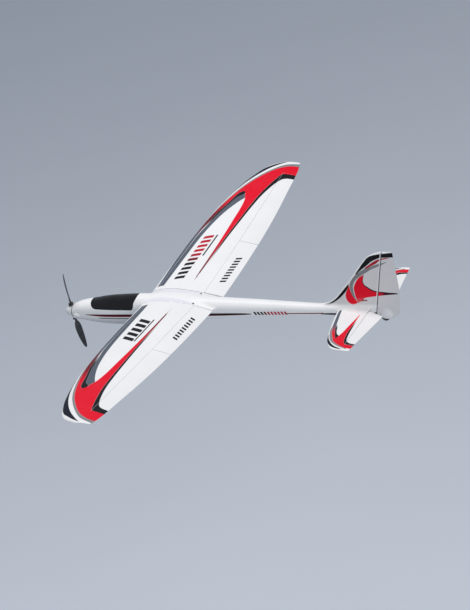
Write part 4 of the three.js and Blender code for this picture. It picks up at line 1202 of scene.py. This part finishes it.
rudderPiece = makeMesh("foam_rudder", [rudderBlade()])
wheelX, wheelZ = rudderShape["wheel"]
combine(rudderPiece, [boreTool(14.2, (-5, 5), (wheelX, 0, wheelZ), "y", 48)])
fit(rudderPiece, "rudder", finFoam, "foam_skin", "rudder")


# ---- spinner, blades and wheels
propShape = {
    "z": 32.3, "turn": -4.8, "pivot": (322, 24.5), "pin": 1.75, "base": 317, "spinner": (21.2, 29),
    "hollow": (19.6, 26.6), "slot": ((316, 329.5), 6.4, (11, 30)),
}


def inProp(parts, extra=0.0):
    angle = math.radians(propShape["turn"] + extra)
    c, s = math.cos(angle), math.sin(angle)
    turnX = np.array([[1, 0, 0], [0, c, -s], [0, s, c]])
    return [(points @ turnX.T + (0, 0, propShape["z"]), faces) for points, faces in parts]


def bulb(radius, length, count):
    # a blunt cone: the radius times (1 - t to the power 1.45) to the power 0.68
    t = np.sin(np.linspace(0, np.pi / 2, count))
    return [(propShape["base"] + a * length, max(radius * max(1 - a**1.45, 0) ** 0.68, 0.01)) for a in t]


spinnerProfile = bulb(*propShape["spinner"], 30) + bulb(*propShape["hollow"], 30)[::-1]
spinnerPiece = makeMesh("white_spinner", [lathe(spinnerProfile, (0, 0, propShape["z"]), "x", 96)], sharp=50)
(slotBack, slotFront), slotHalf, (slotIn, slotOut) = propShape["slot"]
slots = [block((slotBack, -slotHalf, low), (slotFront, slotHalf, high))
         for low, high in ((slotIn, slotOut), (-slotOut, -slotIn))]
combine(spinnerPiece, inProp(slots))
fit(spinnerPiece, "propeller", spinnerPlastic, "spinner_plastic", "spinner")

bladeStations = [  # radius, chord, thickness, pitch in degrees
    (26, 5, 4.6, 90), (34, 7, 4.4, 70), (46, 17, 3.6, 36), (62, 21.5, 3, 29), (84, 21, 2.5, 23),
    (104, 17.5, 2, 19), (119, 12, 1.6, 16), (127, 5, 1, 15), (128.3, 0.4, 0.2, 15),
]


def bladeSkin():
    # sections of a twisted blade: a rounded nose, a thin tail and a little camber
    root, roundStart, tip = bladeStations[0][0], 120, bladeStations[-1][0]
    roundEnd = roundStart + (tip - roundStart) * np.sin(np.linspace(0, np.pi / 2, 14))[1:]
    radius = np.concatenate([np.linspace(root, roundStart, 70), roundEnd])[:, None]
    columns = ([(row[0], row[k]) for row in bladeStations] for k in (1, 2, 3))
    chord, thickness, pitch = (smoothThrough(column, radius) for column in columns)
    a = np.linspace(0, 2 * np.pi, 32, endpoint=False)[None] + np.pi / 32
    across = chord / 2 * np.cos(a)
    slim = np.clip((radius - 34) / 14, 0, 1)
    up = thickness / 2 * np.sin(a) * (1 - 0.35 * slim * np.cos(a))
    up = up - 0.03 * chord * slim * (1 - np.cos(a) ** 2)
    c, s = np.cos(np.radians(pitch)), np.sin(np.radians(pitch))
    swept = 6 * np.clip((radius - 34) / 94, 0, 1) ** 2
    x = propShape["pivot"][0] + across * s + up * c - swept
    y = -across * c + up * s
    return ringFaces(np.stack([x, y, radius + 0 * a], -1))


pivot = (propShape["pivot"][0], 0, propShape["pivot"][1])
pin = propShape["pin"]
eye = lathe([(-2.6, pin), (-2.6, 3.9), (-2.2, 4.3), (2.2, 4.3), (2.6, 3.9), (2.6, pin)], pivot, "y", 40)
pinHole = boreTool(pin, (-8, 8), pivot, "y", 40)
for name, extra in (("blade_a", 0), ("blade_b", 180)):
    piece = makeMesh("black_" + name, inProp([bladeSkin()], extra))
    combine(piece, inProp([eye], extra), "UNION")
    combine(piece, inProp([pinHole], extra))
    fit(piece, name, bladeComposite, "blade_composite", "prop_" + name)


def tyreProfile(radius, half, bore):
    # a round crown with two shallow grooves, then flat sides down to the bore
    crownHeight, grooveDepth, grooveAngle = 4.5, 0.4, 0.45
    profile = [(-half, bore)]
    for angle in np.linspace(-np.pi / 2, np.pi / 2, 25):
        groove = grooveDepth * (abs(abs(angle) - grooveAngle) < 0.08)
        height = radius - crownHeight + crownHeight * math.cos(angle) - groove
        profile.append((half * math.sin(angle), height))
    return profile + [(half, bore)]


mainAxle = (48, 0, 8)
mainTyre = makeMesh("rubber_main_tyre", [lathe(tyreProfile(22, 6.5, 12), mainAxle)])
fit(mainTyre, "main_wheel", wheelRubber, "wheel_rubber", "main_wheel_tyre")
hubProfile = [(-7.3, 1.8), (-7.3, 4), (-4.5, 5), (-4.5, 9.4), (-7, 10.2), (-7.3, 11.6),
              (7.3, 11.6), (7, 10.2), (4.5, 9.4), (4.5, 5), (7.3, 4), (7.3, 1.8)]
mainHub = makeMesh("plastic_main_hub", [lathe(hubProfile, mainAxle)])
fit(mainHub, "main_wheel", wheelPlastic, "wheel_hub_plastic", "main_wheel_hub")
tailTyre = makeMesh("rubber_tail_wheel", [lathe(tyreProfile(12.3, 4, 1.4), (wheelX, 0, wheelZ))])
fit(tailTyre, "tail_wheel", wheelRubber, "wheel_rubber", "tail_wheel")
screwX, screwY = cuts["screw"]["place"]
screwProfile = [(57, 0.01), (58, 1.2), (59, 1.5), (70.9, 1.5), (70.9, 3.1), (71.3, 3.3), (72.8, 3.2),
                (73.7, 2.4), (74, 1.2), (73.2, 1.1), (73.2, 0.01)]
for side, sign in (("left", 1), ("right", -1)):
    turned = lathe(screwProfile, (screwX, screwY * sign, 0), "z", 40)
    screwPiece = makeMesh("wing_screw_head_" + side, [turned])
    fit(screwPiece, "root", blackNylon, "black_nylon", "wing_screw_" + side)
print("propeller, wheels and screws made")

# ---- finishes of the carried-over CAD nodes
finishes = {
    "motor_mount": blackNylon, "motor_stator": copperWinding, "motor_bell": bellMetal,
    "spinner_backplate": bellMetal, "prop_yoke": blackNylon, "battery_tray": blackNylon,
    "battery": batteryWrap,
    "speed_controller": electronicsCase, "receiver": electronicsCase, "wing_joiner_tube": carbonTube,
    "stabilizer_joiner_rod": carbonTube, "main_wheel_housing": blackNylon, "rudder_horn": blackNylon,
}
for name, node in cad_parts.items():
    finish = finishes.get(name)
    if finish is None:
        words = {"servo_arm": armNylon, "servo": servoCase, "horn": blackNylon}
        finish = next((words[word] for word in words if word in name), steelRod)
    for place in node.material_slots:
        place.link = "OBJECT"
        place.material = finish
print("CAD nodes finished")


# ---- floor and light
studio = {
    "floorZ": -1.75, "floorHalf": 14.0, "floorSteps": 8,
    "floorColours": ((0.70, 0.75, 0.82, 1), (0.73, 0.78, 0.85, 1)),
    "key": {
        "place": (1.0, -0.9, 4.4), "target": (-0.1, 0, 0), "size": 2.2, "power": 145,
        "colour": (1, 0.99, 0.975),
    },
    "fill": {
        "place": (-3.2, 3.6, 2.2), "target": (-0.2, 0, 0), "size": 3.0, "power": 80,
        "colour": (1, 0.99, 0.98),
    },
    "skyColour": (0.82, 0.88, 1, 1), "skyStrength": 0.33,
}


def makeFloor():
    steps = studio["floorSteps"]
    line = np.linspace(-studio["floorHalf"], studio["floorHalf"], steps + 1)
    x, y = np.meshgrid(line, line, indexing="ij")
    points = np.stack([x, y, 0 * x + studio["floorZ"]], -1).reshape(-1, 3)
    r, c = np.meshgrid(np.arange(steps), np.arange(steps), indexing="ij")
    here, ahead = r * (steps + 1) + c, (r + 1) * (steps + 1) + c
    faces = np.stack([here, ahead, ahead + 1, here + 1], -1).reshape(-1, 4)
    mesh = bpy.data.meshes.new("floor")
    mesh.from_pydata(points.tolist(), [], faces.tolist())
    floor = bpy.data.objects.new("floor", mesh)
    bpy.context.collection.objects.link(floor)
    material, tree, shader, place = newMaterial("floorPaint")
    noise = addNode(tree, "TexNoise", {"Vector": place["Object"], "Scale": 2.0})
    colour = paintOver(tree, *studio["floorColours"], noise.outputs[0])
    tree.links.new(colour, shader.inputs["Base Color"])
    shader.inputs["Roughness"].default_value = 0.9
    mesh.materials.append(material)


def areaLight(name, place, target, size, power, colour):
    light = bpy.data.objects.new(name, bpy.data.lights.new(name, "AREA"))
    light.data.shape, light.data.size, light.data.energy, light.data.color = "DISK", size, power, colour
    light.location = place
    light.rotation_euler = (Vector(target) - Vector(place)).to_track_quat("-Z", "Y").to_euler()
    bpy.context.collection.objects.link(light)


makeFloor()
for name in ("key", "fill"):
    areaLight(name, **studio[name])
world = bpy.data.worlds.new("studio")
world.use_nodes = True
world.node_tree.nodes["Background"].inputs[0].default_value = studio["skyColour"]
world.node_tree.nodes["Background"].inputs[1].default_value = studio["skyStrength"]
bpy.context.scene.world = world
print("studio made")
